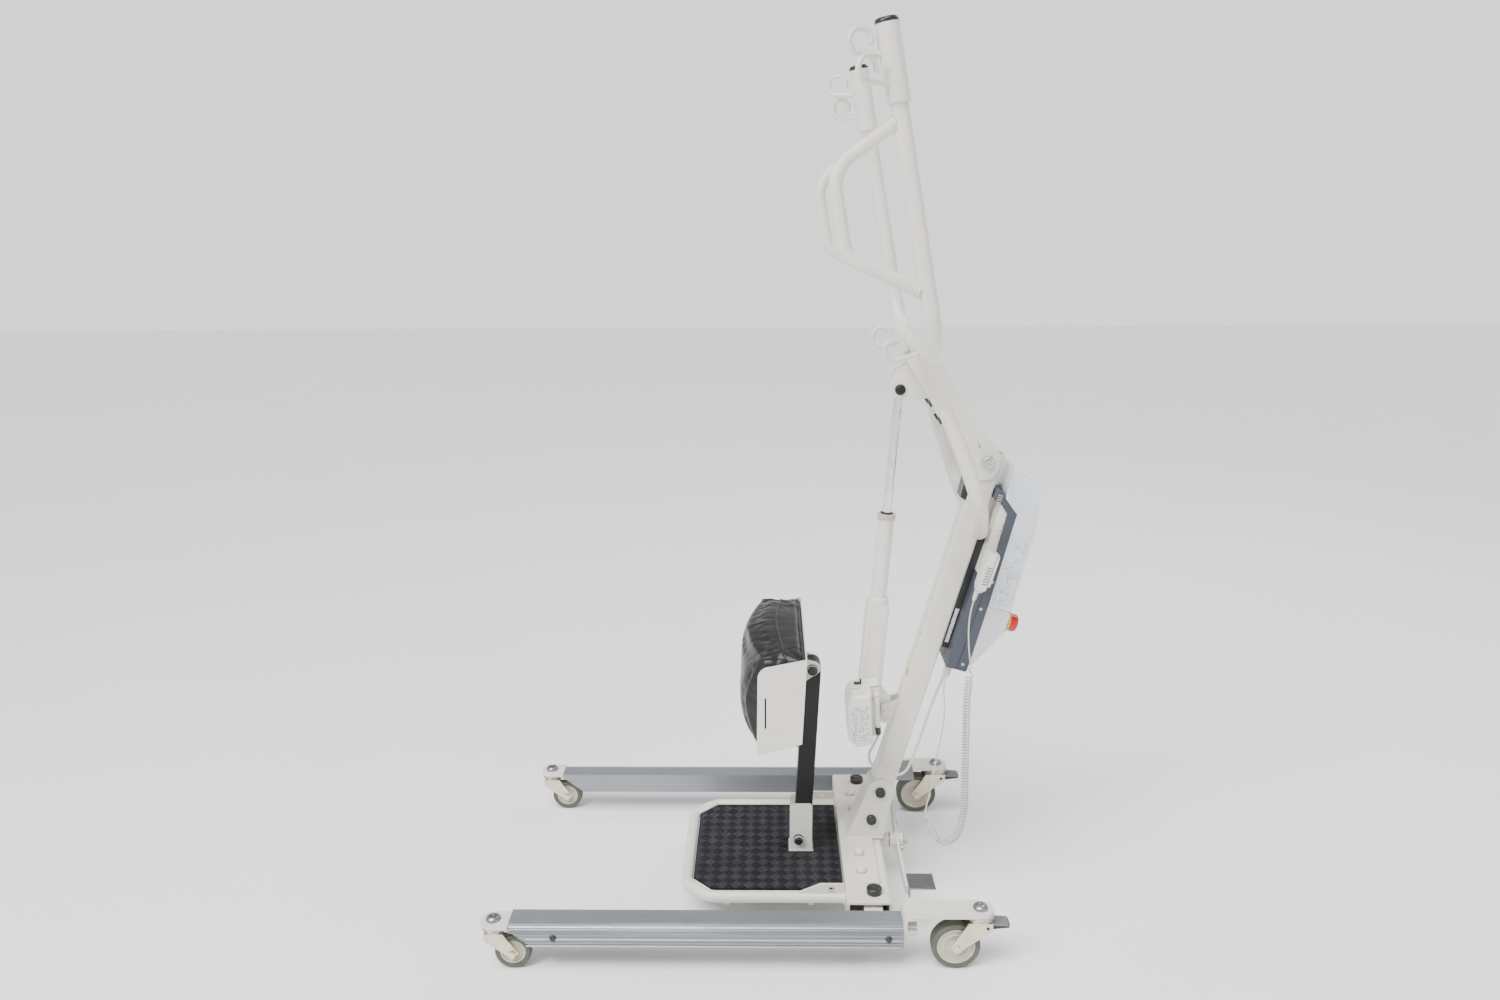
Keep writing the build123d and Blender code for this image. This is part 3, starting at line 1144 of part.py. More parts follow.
def cord_tube(points, diameter):
    """Wire and swept tube of a cord: straight runs joined by tangent arcs. Prints the arcs' radii."""
    radii = route_radii(points)
    print("radii", [round(r, 1) for r in radii])
    with BuildLine() as line:
        FilletPolyline(*points, radius=radii)
    path = line.wires()[0]
    with BuildPart() as tube:
        with BuildSketch(tangent_plane(path)):
            Circle(diameter / 2)
        sweep(path=path)
    full = path.length * pi * diameter ** 2 / 4
    print("length", round(path.length, 1), "volume ratio", round(tube.part.volume / full, 4))
    return tube.part


finish(Compound(children=[cord_tube(upper_lead, LEAD_DIA).solid(), cord_tube(lower_lead, LEAD_DIA).solid()]),
       "handset_cord_leads")
finish(cord_tube(coil_route, CURLY_OUTER), "handset_cord_coil")
finish(cord_tube(motor_route, CABLE_DIA), "motor_cable")
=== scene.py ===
import json
from collections import namedtuple
from functools import partial
from itertools import product
from math import copysign, cos, pi, radians, sin, tan

import bmesh
import bpy
from mathutils.bvhtree import BVHTree
from mathutils import Matrix, Vector, noise


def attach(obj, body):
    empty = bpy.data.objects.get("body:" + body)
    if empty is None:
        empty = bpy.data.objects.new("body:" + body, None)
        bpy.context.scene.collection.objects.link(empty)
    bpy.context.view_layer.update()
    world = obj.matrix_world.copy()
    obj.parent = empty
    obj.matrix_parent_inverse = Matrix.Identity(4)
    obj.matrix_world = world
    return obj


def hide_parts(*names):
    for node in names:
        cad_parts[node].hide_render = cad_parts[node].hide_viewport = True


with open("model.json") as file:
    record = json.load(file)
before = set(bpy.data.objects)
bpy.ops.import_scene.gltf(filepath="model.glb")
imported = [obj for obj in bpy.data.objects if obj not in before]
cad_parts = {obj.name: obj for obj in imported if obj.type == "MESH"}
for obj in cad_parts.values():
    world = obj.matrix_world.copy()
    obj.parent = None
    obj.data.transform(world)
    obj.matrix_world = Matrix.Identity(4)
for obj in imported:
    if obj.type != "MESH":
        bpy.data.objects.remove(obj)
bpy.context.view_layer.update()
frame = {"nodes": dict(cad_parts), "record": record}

# Looks of the sit to stand lift. Metres, in the CAD's own frame: +Z up, the mast and control box at +X.

SIDES = (("left", 1), ("right", -1))
UP = Vector((0, 0, 1))

# places that part.py also names
LEAN = radians(15.6)
MAST_ROOT = (0.2297, 0.15)
ARM_LEAN = radians(10.6)
ARM_FOOT = (0.306, 1.23)
ARM_Y = 0.289
KNEE_LEAN = radians(2.86)
KNEE_PIVOT = (0.0967, 0.5256)
ACTUATOR_LEAN = radians(4.2)
ACTUATOR_FOOT = (0.2192, 0.421)
BOOM_PIVOT = (0.456, 0.99)
YOKE_PIN = (0.272, 1.14)
REAR_DIR = Vector((cos(LEAN), 0, -sin(LEAN)))
MAST_DIR = Vector((sin(LEAN), 0, cos(LEAN)))


# ---- places
def on_line(foot, lean, along, off=0.0, y=0.0):
    """A point along a line that leans to +X from its foot, and that far off it to the rear."""
    return Vector((foot[0] + along * sin(lean) + off * cos(lean), y,
                   foot[1] + along * cos(lean) - off * sin(lean)))


on_mast = partial(on_line, MAST_ROOT, LEAN)
on_knee = partial(on_line, KNEE_PIVOT, KNEE_LEAN)
on_actuator = partial(on_line, ACTUATOR_FOOT, ACTUATOR_LEAN)


def on_arm(z, side=1):
    """A point on an arm tube's centre line."""
    return Vector((ARM_FOOT[0] - (z - ARM_FOOT[1]) * tan(ARM_LEAN), side * ARM_Y, z))


# ---- materials
class Nodes:
    """Adds shader nodes to a tree and links them."""

    def __init__(self, tree):
        self.tree = tree

    def node(self, kind, **inputs):
        made = self.tree.nodes.new("ShaderNode" + kind)
        for key, value in inputs.items():
            self.feed(made.inputs[key.replace("_", " ")], value)
        return made

    def filled(self, kind, *values):
        """A node whose first inputs take those values."""
        made = self.node(kind)
        for socket, value in zip(made.inputs, values):
            self.feed(socket, value)
        return made

    def feed(self, socket, value):
        if isinstance(value, bpy.types.NodeSocket):
            self.tree.links.new(value, socket)
        else:
            socket.default_value = value

    def span(self, value, low, high, to_low=0.0, to_high=1.0):
        """value taken from low..high to to_low..to_high."""
        return self.filled("MapRange", value, low, high, to_low, to_high).outputs[0]

    def calc(self, work, *values):
        made = self.filled("Math", *values)
        made.operation = work
        return made.outputs[0]


class Look(Nodes):
    """A procedural material: one Principled shader fed by patterns in object coordinates."""

    def __init__(self, name, rough, metal=0.0):
        self.mat = bpy.data.materials.new(name)
        self.mat.use_nodes = True
        super().__init__(self.mat.node_tree)
        self.bsdf = self.tree.nodes["Principled BSDF"]
        self.bsdf.inputs["Roughness"].default_value = rough
        self.bsdf.inputs["Metallic"].default_value = metal
        self.coords = self.node("TexCoord").outputs["Object"]
        self.normal = None

    def placed(self, stretch=(1, 1, 1), turn=(0, 0, 0)):
        """Object coordinates, turned and then stretched."""
        spun = self.node("Mapping", Vector=self.coords, Rotation=turn)
        return self.node("Mapping", Vector=spun.outputs[0], Scale=stretch).outputs[0]

    def noise(self, scale, detail=4.0, stretch=(1, 1, 1), turn=(0, 0, 0), rough=0.55):
        made = self.node("TexNoise", Vector=self.placed(stretch, turn), Scale=scale,
                         Detail=detail, Roughness=rough)
        return made.outputs["Fac"]

    def cells(self, scale):
        """Distance to the middle of rounded cells."""
        made = self.node("TexVoronoi", Vector=self.placed(), Scale=scale)
        made.feature = "SMOOTH_F1"
        return made.outputs["Distance"]

    def mix(self, amount, low, high):
        """Colour low where amount is 0 and high where it is 1."""
        made = self.node("Mix")
        made.data_type = "RGBA"
        self.feed(made.inputs["Factor"], amount)
        for socket, colour in ((made.inputs[6], low), (made.inputs[7], high)):
            self.feed(socket, colour if isinstance(colour, bpy.types.NodeSocket) else (*colour, 1))
        return made.outputs[2]

    def edge(self, radius):
        """1 on sharp edges and 0 on flat faces."""
        soft = self.node("Bevel", Radius=radius)
        hard = self.node("NewGeometry")
        dot = self.filled("VectorMath", soft.outputs[0], hard.outputs["Normal"])
        dot.operation = "DOT_PRODUCT"
        self.normal = soft.outputs[0]
        return self.span(dot.outputs["Value"], 1.0, 0.86)

    def bump(self, height, depth, strength=1.0):
        """Adds a relief of that depth in metres."""
        made = self.node("Bump", Height=height, Distance=depth, Strength=strength)
        if self.normal is not None:
            self.feed(made.inputs["Normal"], self.normal)
        self.normal = made.outputs[0]

    def done(self, colour, rough=None, **values):
        self.feed(self.bsdf.inputs["Base Color"], colour)
        if rough is not None:
            self.feed(self.bsdf.inputs["Roughness"], rough)
        if self.normal is not None:
            self.feed(self.bsdf.inputs["Normal"], self.normal)
        for key, value in values.items():
            self.bsdf.inputs[key.replace("_", " ")].default_value = value
        return self.mat


def shade(colour, times):
    return tuple(min(1.0, c * times) for c in colour)


def powder_coat(name, colour, rough=0.36, shine=0.5):
    """Baked coating: orange peel, faint handling marks, chips and grime along the edges."""
    look = Look(name, rough)
    wear = look.calc("MULTIPLY", look.edge(0.0014), look.span(look.noise(38, 5), 0.42, 0.66))
    tone = look.mix(look.span(look.noise(7, 3), 0.35, 0.65), shade(colour, 0.955), shade(colour, 1.02))
    grime = look.span(look.noise(24, 8, rough=0.7), 0.6, 0.8, 0.0, 0.35)
    tone = look.mix(grime, tone, shade(colour, 0.8))
    tone = look.mix(look.calc("MULTIPLY", wear, 0.55), tone, (0.42, 0.38, 0.32))
    look.bump(look.noise(620, 2), 0.00008, 0.5)
    return look.done(tone, look.span(look.noise(16, 6), 0.3, 0.7, rough - 0.07, rough + 0.12),
                     Coat_Weight=0.25 * shine, Coat_Roughness=0.22, Specular_IOR_Level=shine)


def moulded(name, colour, rough, gloss=0.0):
    """Moulded plastic: spark-eroded grain, rubbed edges and light dust."""
    look = Look(name, rough)
    rub = look.calc("MULTIPLY", look.edge(0.001), look.span(look.noise(60, 4), 0.4, 0.7))
    tone = look.mix(look.span(look.noise(9, 4), 0.3, 0.7), shade(colour, 0.93), shade(colour, 1.05))
    tone = look.mix(look.calc("MULTIPLY", rub, 0.3), tone, tuple(0.5 * c + 0.22 for c in colour))
    look.bump(look.noise(1500, 2), 0.00006, 0.6)
    return look.done(tone, look.span(look.noise(30, 5), 0.3, 0.7, rough - 0.06, rough + 0.1),
                     Coat_Weight=gloss, Coat_Roughness=0.15)


def bare_metal(name, colour, rough, brush=(1, 1, 60), grain=90):
    """Plated or brushed metal with drawn lines and stains."""
    look = Look(name, rough, 1.0)
    look.edge(0.0006)
    stain = look.span(look.noise(35, 6, rough=0.7), 0.45, 0.75)
    tone = look.mix(stain, shade(colour, 1.03), shade(colour, 0.78))
    lines = look.noise(grain, 3, stretch=brush)
    look.bump(lines, 0.00003, 0.4)
    return look.done(tone, look.span(lines, 0.3, 0.7, rough - 0.08, rough + 0.12))


def anodised(name, colour):
    """Anodised extrusion: die lines along X, scuffs and a soft sheen."""
    look = Look(name, 0.34, 0.5)
    look.edge(0.0007)
    lines = look.noise(60, 3, stretch=(0.02, 12, 12))
    tone = look.mix(look.span(lines, 0.35, 0.65), shade(colour, 0.86), shade(colour, 1.1))
    scuff = look.span(look.noise(45, 8, stretch=(0.3, 1, 1), rough=0.75), 0.6, 0.78)
    tone = look.mix(look.calc("MULTIPLY", scuff, 0.4), tone, shade(colour, 1.35))
    look.bump(lines, 0.00005, 0.5)
    return look.done(tone, look.span(look.noise(20, 5), 0.3, 0.7, 0.27, 0.46))


def leather(name, colour):
    """Coated black upholstery leather: fine pebble, slack folds and rubbed polish."""
    look = Look(name, 0.3)
    look.bump(look.noise(11, 2, stretch=(1, 0.6, 1.3)), 0.0016, 0.35)
    look.bump(look.cells(420), 0.00012, 0.35)
    tone = look.mix(look.span(look.noise(22, 5), 0.35, 0.65), shade(colour, 0.8), shade(colour, 1.4))
    return look.done(tone, look.span(look.noise(30, 4), 0.3, 0.7, 0.3, 0.45), Specular_IOR_Level=0.38,
                     Coat_Weight=0.06, Coat_Roughness=0.2)


def soft_rubber(name, colour, rough, dusty=0.09):
    """Rubber with dust in its pores."""
    look = Look(name, rough)
    dust = look.span(look.noise(30, 7, rough=0.7), 0.5, 0.8, 0.0, 0.4)
    tone = look.mix(dust, colour, tuple(0.6 * c + dusty for c in colour))
    look.bump(look.noise(900, 3), 0.00012, 0.6)
    return look.done(tone, look.span(look.noise(50, 4), 0.3, 0.7, rough - 0.1, rough + 0.12))


def printed_label(name, base, ink, pitch, turn, cover=0.5):
    """A printed label: rows of short generic marks that aren't letters."""
    look = Look(name, 0.3)
    rows = look.placed(turn=turn)
    split = look.node("SeparateXYZ", Vector=rows)
    row = look.calc("FRACT", look.calc("MULTIPLY", split.outputs[2], 1 / pitch))
    in_row = look.calc("LESS_THAN", look.calc("ABSOLUTE", look.calc("SUBTRACT", row, 0.5)), 0.22)
    marks = look.noise(1 / pitch, 1, stretch=(1.4, 1.4, 0.5), turn=turn)
    inked = look.calc("MULTIPLY", in_row, look.calc("GREATER_THAN", marks, cover))
    look.bump(look.noise(500, 2), 0.00002, 0.4)
    paper = look.mix(look.noise(12, 3), shade(base, 0.95), base)
    return look.done(look.mix(inked, paper, ink), Coat_Weight=0.4)


CREAM, BLACK = (0.72, 0.688, 0.62), (0.014, 0.014, 0.016)
LOOKS = {name: make(name, *values) for name, make, *values in (
    ("cream_coat", powder_coat, CREAM),
    ("black_coat", powder_coat, (0.008, 0.008, 0.009), 0.42, 0.3),
    ("anodised", anodised, (0.27, 0.285, 0.31)),
    ("zinc", bare_metal, (0.58, 0.575, 0.56), 0.34),
    ("fork_zinc", bare_metal, (0.76, 0.69, 0.53), 0.36, (1, 1, 8)),
    ("steel", bare_metal, (0.3, 0.305, 0.32), 0.36),
    ("chrome", bare_metal, (0.86, 0.87, 0.88), 0.12, (40, 40, 1), 50),
    ("black_plastic", moulded, BLACK, 0.38, 0.15),
    ("anthracite_plastic", moulded, (0.052, 0.06, 0.078), 0.46),
    ("cream_plastic", moulded, (0.74, 0.715, 0.65), 0.38, 0.1),
    ("light_grey_plastic", moulded, (0.62, 0.63, 0.62), 0.36, 0.2),
    ("pale_blue_plastic", moulded, (0.71, 0.745, 0.785), 0.3, 0.3),
    ("red_plastic", moulded, (0.5, 0.008, 0.008), 0.32, 0.15),
    ("yellow_plastic", moulded, (0.85, 0.48, 0.03), 0.32, 0.3),
    ("grip_rubber", soft_rubber, (0.16, 0.17, 0.19), 0.55),
    ("mat_rubber", soft_rubber, (0.006, 0.006, 0.008), 0.42, 0.03),
    # lighter, glossier copy of the mat rubber for the strands that run one way: a painted highlight
    ("mat_worn", soft_rubber, (0.02, 0.021, 0.026), 0.34, 0.06),
    ("cord_rubber", moulded, (0.6, 0.57, 0.51), 0.48),
    ("tyre", soft_rubber, (0.075, 0.085, 0.062), 0.55),
    ("leather", leather, (0.009, 0.009, 0.01)),
    ("wheel_core", moulded, (0.5, 0.46, 0.37), 0.45),
    ("label", printed_label, (0.72, 0.72, 0.7), (0.1, 0.1, 0.11), 0.0042, (0, 0, 0)),
    ("box_print", printed_label, (0.7, 0.75, 0.8), (0.3, 0.35, 0.38), 0.006, (0, LEAN, 0), 0.56),
    ("orange", moulded, (0.85, 0.28, 0.02), 0.35),
    ("tick_strip", printed_label, (0.8, 0.78, 0.74), (0.3, 0.2, 0.2), 0.007, (0, LEAN, 0), 0.6))}


# ---- pieces
def added(name, data):
    """A new object in the scene."""
    made = bpy.data.objects.new(name, data)
    bpy.context.scene.collection.objects.link(made)
    return made


def piece(name, data, look, body, smooth=True):
    """Adds a piece to the scene, with its look, body and record slot."""
    made = added(name, data)
    made.data.materials.append(LOOKS[look])
    if smooth and made.type == "MESH":
        made.data.shade_smooth()
    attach(made, body)
    return made


def to_mesh(name, work):
    mesh = bpy.data.meshes.new(name)
    work.to_mesh(mesh)
    work.free()
    return mesh


def from_bmesh(name, work, look, body, smooth=True):
    bmesh.ops.recalc_face_normals(work, faces=work.faces)
    return piece(name, to_mesh(name, work), look, body, smooth)


def shift(x, y, z):
    return Matrix.Translation((x, y, z))


def spin(degrees, axis):
    return Matrix.Rotation(radians(degrees), 4, axis)


def turned(axis, centre):
    """Matrix that takes +Z to an axis, at a centre."""
    turn = UP.rotation_difference(Vector(axis)).to_matrix().to_4x4()
    return Matrix.Translation(Vector(centre)) @ turn


def mast_place(s, t, y=0.0):
    """Matrix at a point of the mast: x across, y to the rear and z up the mast."""
    turn = Matrix((Vector((0, -1, 0)), REAR_DIR, MAST_DIR)).transposed()
    return Matrix.Translation(on_mast(s, t, y)) @ turn.to_4x4()


def circle(radius, count):
    return [(radius * cos(2 * pi * k / count), radius * sin(2 * pi * k / count)) for k in range(count)]


def ring_points(centre, axis, radius, count):
    place = turned(axis, centre)
    return [place @ Vector((x, y, 0)) for x, y in circle(radius, count)]


def path_points(corners, step=0.003):
    """Points about a step apart along straight runs."""
    corners = [Vector(corner) for corner in corners]
    out = []
    for a, b in zip(corners, corners[1:]):
        count = max(1, round((b - a).length / step))
        out += [a.lerp(b, k / count) for k in range(count)]
    return out + [corners[-1]]


def rounded(profile, radius):
    """A closed profile with its corners cut round."""
    out = []
    count = len(profile)
    for k in range(count):
        a, b, c = (Vector(profile[(k + d) % count]) for d in (-1, 0, 1))
        cut = min(radius, 0.45 * (a - b).length, 0.45 * (c - b).length)
        start, end = b + (a - b).normalized() * cut, b + (c - b).normalized() * cut
        for t in (0, 1 / 3, 2 / 3, 1):
            out.append(tuple(start * (1 - t) ** 2 + b * 2 * t * (1 - t) + end * t ** 2))
    return out


def ring_profile(inner, outer, height):
    return [(inner, 0), (outer, 0), (outer, height), (inner, height)]


def mirrored(profile):
    """A wheel's closed profile of (radius, height), from its lower half."""
    return profile + [(r, -h) for r, h in reversed(profile)]


def lathe(name, profile, axis, centre, look, body, round_to=0.0, steps=48):
    """A turned shape: profile is a closed loop of (radius, height)."""
    if round_to:
        profile = rounded(profile, round_to)
    place = turned(axis, centre)
    work = bmesh.new()
    rings = [[work.verts.new(place @ Vector((r * x, r * y, h))) for r, h in profile]
             for x, y in circle(1, steps)]
    count = len(profile)
    for k in range(steps):
        here, there = rings[k], rings[(k + 1) % steps]
        for j in range(count):
            work.faces.new((here[j], there[j], there[(j + 1) % count], here[(j + 1) % count]))
    return from_bmesh(name, work, look, body)


def dome(name, centre, axis, radius, height, look, body):
    profile = [(0.0001, height), (0.45 * radius, 0.97 * height), (0.78 * radius, 0.82 * height),
               (0.95 * radius, 0.52 * height), (radius, 0.2 * height), (radius, 0.0), (0.0001, 0.0)]
    lathe(name, profile, axis, centre, look, body)


def soft_box_into(work, place, size, edge):
    """Adds a box with rounded edges."""
    made = bmesh.ops.create_cube(work, size=1.0, matrix=place @ Matrix.Diagonal((*size, 1)))
    edges = list({e for v in made["verts"] for e in v.link_edges})
    bmesh.ops.bevel(work, geom=edges, offset=edge, segments=3, affect="EDGES", profile=0.6)


def boxes(name, blocks, look, body, edge=0.0002):
    """One piece of boxes with rounded edges; blocks are (matrix, size)."""
    work = bmesh.new()
    for place, size in blocks:
        soft_box_into(work, place, size, edge)
    from_bmesh(name, work, look, body)


def tube_into(work, points, radius, steps, ripple, closed):
    """Adds a round bead along points, rippled like a weld if asked."""
    points = [Vector(point) for point in points]
    count = len(points)
    side = None
    rings = []
    for k, point in enumerate(points):
        ahead = points[(k + 1) % count] if closed or k < count - 1 else point
        behind = points[k - 1] if closed or k else point
        along = (ahead - behind).normalized()
        side = side or along.orthogonal()
        side = (side - along * side.dot(along)).normalized()
        other = along.cross(side)
        r = radius * (1 + ripple * (k % 2 - 0.5))
        rings.append([work.verts.new(point + (side * x + other * y) * r) for x, y in circle(1, steps)])
    for k in range(count if closed else count - 1):
        here, there = rings[k], rings[(k + 1) % count]
        for j in range(steps):
            work.faces.new((here[j], here[(j + 1) % steps], there[(j + 1) % steps], there[j]))
    if not closed:
        work.faces.new(rings[0])
        work.faces.new(rings[-1])


def beads(name, runs, radius, look, body, steps=8, ripple=0.0, closed=False):
    """One piece of round beads, each along its own points."""
    work = bmesh.new()
    for points in runs:
        tube_into(work, points, radius, steps, ripple, closed)
    from_bmesh(name, work, look, body)


# ---- cords
WIRE_D, CABLE_D = 0.0032, 0.006
COIL_RADIUS, COIL_STEP = 0.0068, 0.00045
UPPER_LEAD = [(0.4288, -0.0852, 0.7069), (0.423, -0.085, 0.682), (0.421, -0.084, 0.65),
              (0.422, -0.084, 0.618), (0.425, -0.084, 0.588)]
COIL_ROUTE = [(0.429, -0.084, 0.56), (0.425, -0.083, 0.512), (0.424, -0.082, 0.462), (0.426, -0.081, 0.406),
              (0.427, -0.08, 0.348), (0.4285, -0.079, 0.29), (0.431, -0.077, 0.232), (0.427, -0.075, 0.186),
              (0.418, -0.071, 0.15), (0.402, -0.062, 0.128), (0.384, -0.052, 0.126), (0.368, -0.044, 0.143),
              (0.358, -0.039, 0.166), (0.351, -0.036, 0.188)]
LOWER_LEAD = [(0.355, -0.035, 0.208), (0.362, -0.034, 0.24), (0.368, -0.034, 0.292),
              (0.377, -0.034, 0.346), (0.386, -0.035, 0.404), (0.386, -0.035, 0.456),
              (0.3805, -0.034, 0.492), (0.3872, -0.034, 0.5172)]
MOTOR_ROUTE = [(0.2372, -0.0858, 0.401), (0.23, -0.079, 0.377), (0.219, -0.07, 0.35),
               (0.222, -0.06, 0.322), (0.24, -0.05, 0.3), (0.264, -0.045, 0.287),
               (0.29, -0.041, 0.281), (0.308, -0.037, 0.291),
               (0.318, -0.033, 0.314), (0.328, -0.029, 0.341), (0.342, -0.024, 0.385), (0.356, -0.02, 0.43),
               (0.368, -0.017, 0.466), (0.3786, -0.016, 0.4915), (0.3872, -0.016, 0.5172)]


def nurbs(points, thickness=0.0):
    """A smooth open curve with those control points."""
    curve = bpy.data.curves.new("cord", "CURVE")
    curve.dimensions = "3D"
    curve.resolution_u = 3 if len(points) > 100 else 8
    line = curve.splines.new("NURBS")
    line.points.add(len(points) - 1)
    for control, point in zip(line.points, points):
        control.co = (*point, 1)
    line.order_u = 3
    line.use_endpoint_u = True
    curve.bevel_depth = thickness / 2
    curve.bevel_resolution = 3
    return curve


def followed(route):
    """Points read along a route's smooth curve."""
    bare = bpy.data.objects.new("bare", nurbs(route))
    mesh = bpy.data.meshes.new_from_object(bare)
    points = [v.co.copy() for v in mesh.vertices]
    bpy.data.meshes.remove(mesh)
    bpy.data.objects.remove(bare)
    return points


def walk(points, step):
    """Points and directions at equal steps along a line."""
    out, left = [], 0.0
    for a, b in zip(points, points[1:]):
        run = (b - a).length
        while left <= run and run > 0:
            out.append((a.lerp(b, left / run), (b - a).normalized()))
            left += step
        left -= run
    return out


def line_length(points):
    return sum((b - a).length for a, b in zip(points, points[1:]))


def eased(x):
    """0 below 0, 1 above 1, and a smooth rise between."""
    x = max(0.0, min(1.0, x))
    return x * x * (3 - 2 * x)


def curly_cord():
    """The handset's cord: a straight lead, a long curly stretch and a straight lead to the box."""
    stations = walk(followed(COIL_ROUTE), COIL_STEP)
    side = stations[0][1].orthogonal().normalized()
    turns, angle = [], 0.0
    for k, (point, along) in enumerate(stations):
        side = (side - along * side.dot(along)).normalized()
        from_end = COIL_STEP * min(k, len(stations) - 1 - k)
        # the upper turns are pulled further apart by the weight below them
        pitch = 0.0074 - 0.0012 * k / len(stations)
        angle += 2 * pi * COIL_STEP / pitch * (0.2 + 0.8 * eased((from_end - 0.018) / 0.014))
        out = COIL_RADIUS * eased(from_end / 0.026)
        turns.append(point + (side * cos(angle) + along.cross(side) * sin(angle)) * out)
    # the ends hardly turn, so every second point will do there
    turns = turns[:40:2] + turns[40:-40] + turns[-40::2]
    points = [Vector(p) for p in UPPER_LEAD] + turns + [Vector(p) for p in LOWER_LEAD]
    cord = piece("handset_cord", nurbs(points, WIRE_D), "cord_rubber", "base")
    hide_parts("handset_cord_leads", "handset_cord_coil")


def motor_lead():
    cable = piece("motor_lead_cable", nurbs(MOTOR_ROUTE, CABLE_D), "cord_rubber", "base")
    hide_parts("motor_cable")
    line_length(followed(MOTOR_ROUTE))


curly_cord()
motor_lead()


# ---- knee pad
# measured from the knee pivot: PAD_REAR to PAD_CROWN forward, PAD_LOW to PAD_HIGH up, PAD_HALF to a side
PAD_REAR, PAD_RIM, PAD_CROWN = -0.0262, -0.116, -0.152
PAD_HALF, PAD_LOW, PAD_HIGH = 0.187, -0.104, 0.09
PAD_MIDDLE, PAD_RISE = (PAD_HIGH + PAD_LOW) / 2, (PAD_HIGH - PAD_LOW) / 2
PAD_LIMIT = 0.1914    # the cover may not swell past this, into the shell's cheeks
CORNERS = ((-1, -1), (1, -1), (1, 1), (-1, 1))


def pad_front(across, up):
    """How far the pad's front stands out, with its corners pinched in."""
    full = (1 - abs(across * up) ** 1.6) * (1 - 0.12 * abs(across) ** 3)
    return PAD_RIM + (PAD_CROWN - PAD_RIM) * full


def pad_mesh():
    """A closed boxed cushion, finely divided."""
    work = bmesh.new()
    bmesh.ops.create_cube(work, size=2.0)
    bmesh.ops.subdivide_edges(work, edges=work.edges, cuts=23, use_grid_fill=True)
    for v in work.verts:
        depth, across, up = v.co
        out = PAD_REAR + (pad_front(across, up) - PAD_REAR) * (1 - depth) / 2
        swell = 0.004 * (1 - across ** 2) * (1 - depth ** 2)
        v.co = on_knee(PAD_MIDDLE + up * (PAD_RISE + swell), out, across * PAD_HALF)
    return to_mesh("knee_cushion", work)


def inflate(cushion, voxel, frames, cap):
    """Remeshes a cushion and blows it up as cloth, with every point's move capped."""
    bpy.context.view_layer.objects.active = cushion
    remesh = cushion.modifiers.new("remesh", "REMESH")
    remesh.mode = "VOXEL"
    remesh.voxel_size = voxel
    bpy.ops.object.modifier_apply(modifier=remesh.name)
    before = [v.co.copy() for v in cushion.data.vertices]
    pinned = cushion.vertex_groups.new(name="back")
    back = [v.index for v in cushion.data.vertices if v.co.x > on_knee(0, PAD_REAR - 0.004).x]
    pinned.add(back, 1.0, "REPLACE")
    cloth = cushion.modifiers.new("cloth", "CLOTH")
    cloth.settings.use_pressure = True
    cloth.settings.uniform_pressure_force = 4
    cloth.settings.vertex_group_mass = "back"
    cloth.settings.effector_weights.gravity = 0
    for number in range(1, frames + 1):
        bpy.context.scene.frame_set(number)
    shaped = cushion.evaluated_get(bpy.context.evaluated_depsgraph_get())
    after = [v.co.copy() for v in shaped.data.vertices]
    cushion.modifiers.remove(cloth)
    for v, old, new in zip(cushion.data.vertices, before, after):
        move = new - old
        v.co = old + move * min(1.0, cap / max(move.length, 1e-9))
        v.co.y = max(-PAD_LIMIT, min(PAD_LIMIT, v.co.y))
    bpy.context.scene.frame_set(1)


def crease(cushion):
    """Stretch folds that run out of the pinched corners, and slack along the top."""
    mesh = cushion.data
    normals = [v.normal.copy() for v in mesh.vertices]
    for v, normal in zip(mesh.vertices, normals):
        spot = v.co
        across = spot.y / PAD_HALF
        up = (spot.z - KNEE_PIVOT[1] - PAD_MIDDLE) / PAD_RISE
        corner = (abs(across) * abs(up)) ** 4
        rays = noise.noise(Vector((spot.x * 30, spot.y * 34 + spot.z * 26, spot.z * 12)))
        broad = noise.fractal(spot * 17, 1.0, 2.0, 3)
        fold = (1 - abs(rays)) ** 6
        v.co = spot - normal * (0.0045 * corner * fold + 0.0002 * fold) + normal * 0.0007 * broad
        v.co.y = max(-PAD_LIMIT, min(PAD_LIMIT, v.co.y))


def knee_cushion():
    cushion = piece("knee_cushion", pad_mesh(), "leather", "knee_pad")
    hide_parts("knee_pad_cushion")
    inflate(cushion, 0.005, 20, 0.005)
    crease(cushion)
    finer = cushion.modifiers.new("finer", "SUBSURF")
    finer.levels = finer.render_levels = 1
    cushion.data.shade_smooth()
    # seams sewn round the cushion's walls, half sunk in its cover
    mesh, swell = cushion.data, 0.0035
    cover = BVHTree.FromPolygons([v.co for v in mesh.vertices], [f.vertices for f in mesh.polygons])
    for name, depth in (("knee_cushion_front_seam", 0.46), ("knee_cushion_back_seam", 0.05)):
        loop = []
        for a, b in zip(CORNERS, CORNERS[1:] + CORNERS[:1]):
            for k in range(40):
                across, up = (a[0] + (b[0] - a[0]) * k / 40, a[1] + (b[1] - a[1]) * k / 40)
                out = PAD_REAR + (pad_front(across, up) - PAD_REAR) * depth
                near = on_knee(PAD_MIDDLE + up * (PAD_RISE + swell), out, across * (PAD_HALF + swell))
                spot, normal, _, _ = cover.find_nearest(near)
                loop.append(spot + normal * 0.0006)
        beads(name, [loop], 0.0021, "leather", "knee_pad", ripple=0.15, closed=True)


knee_cushion()


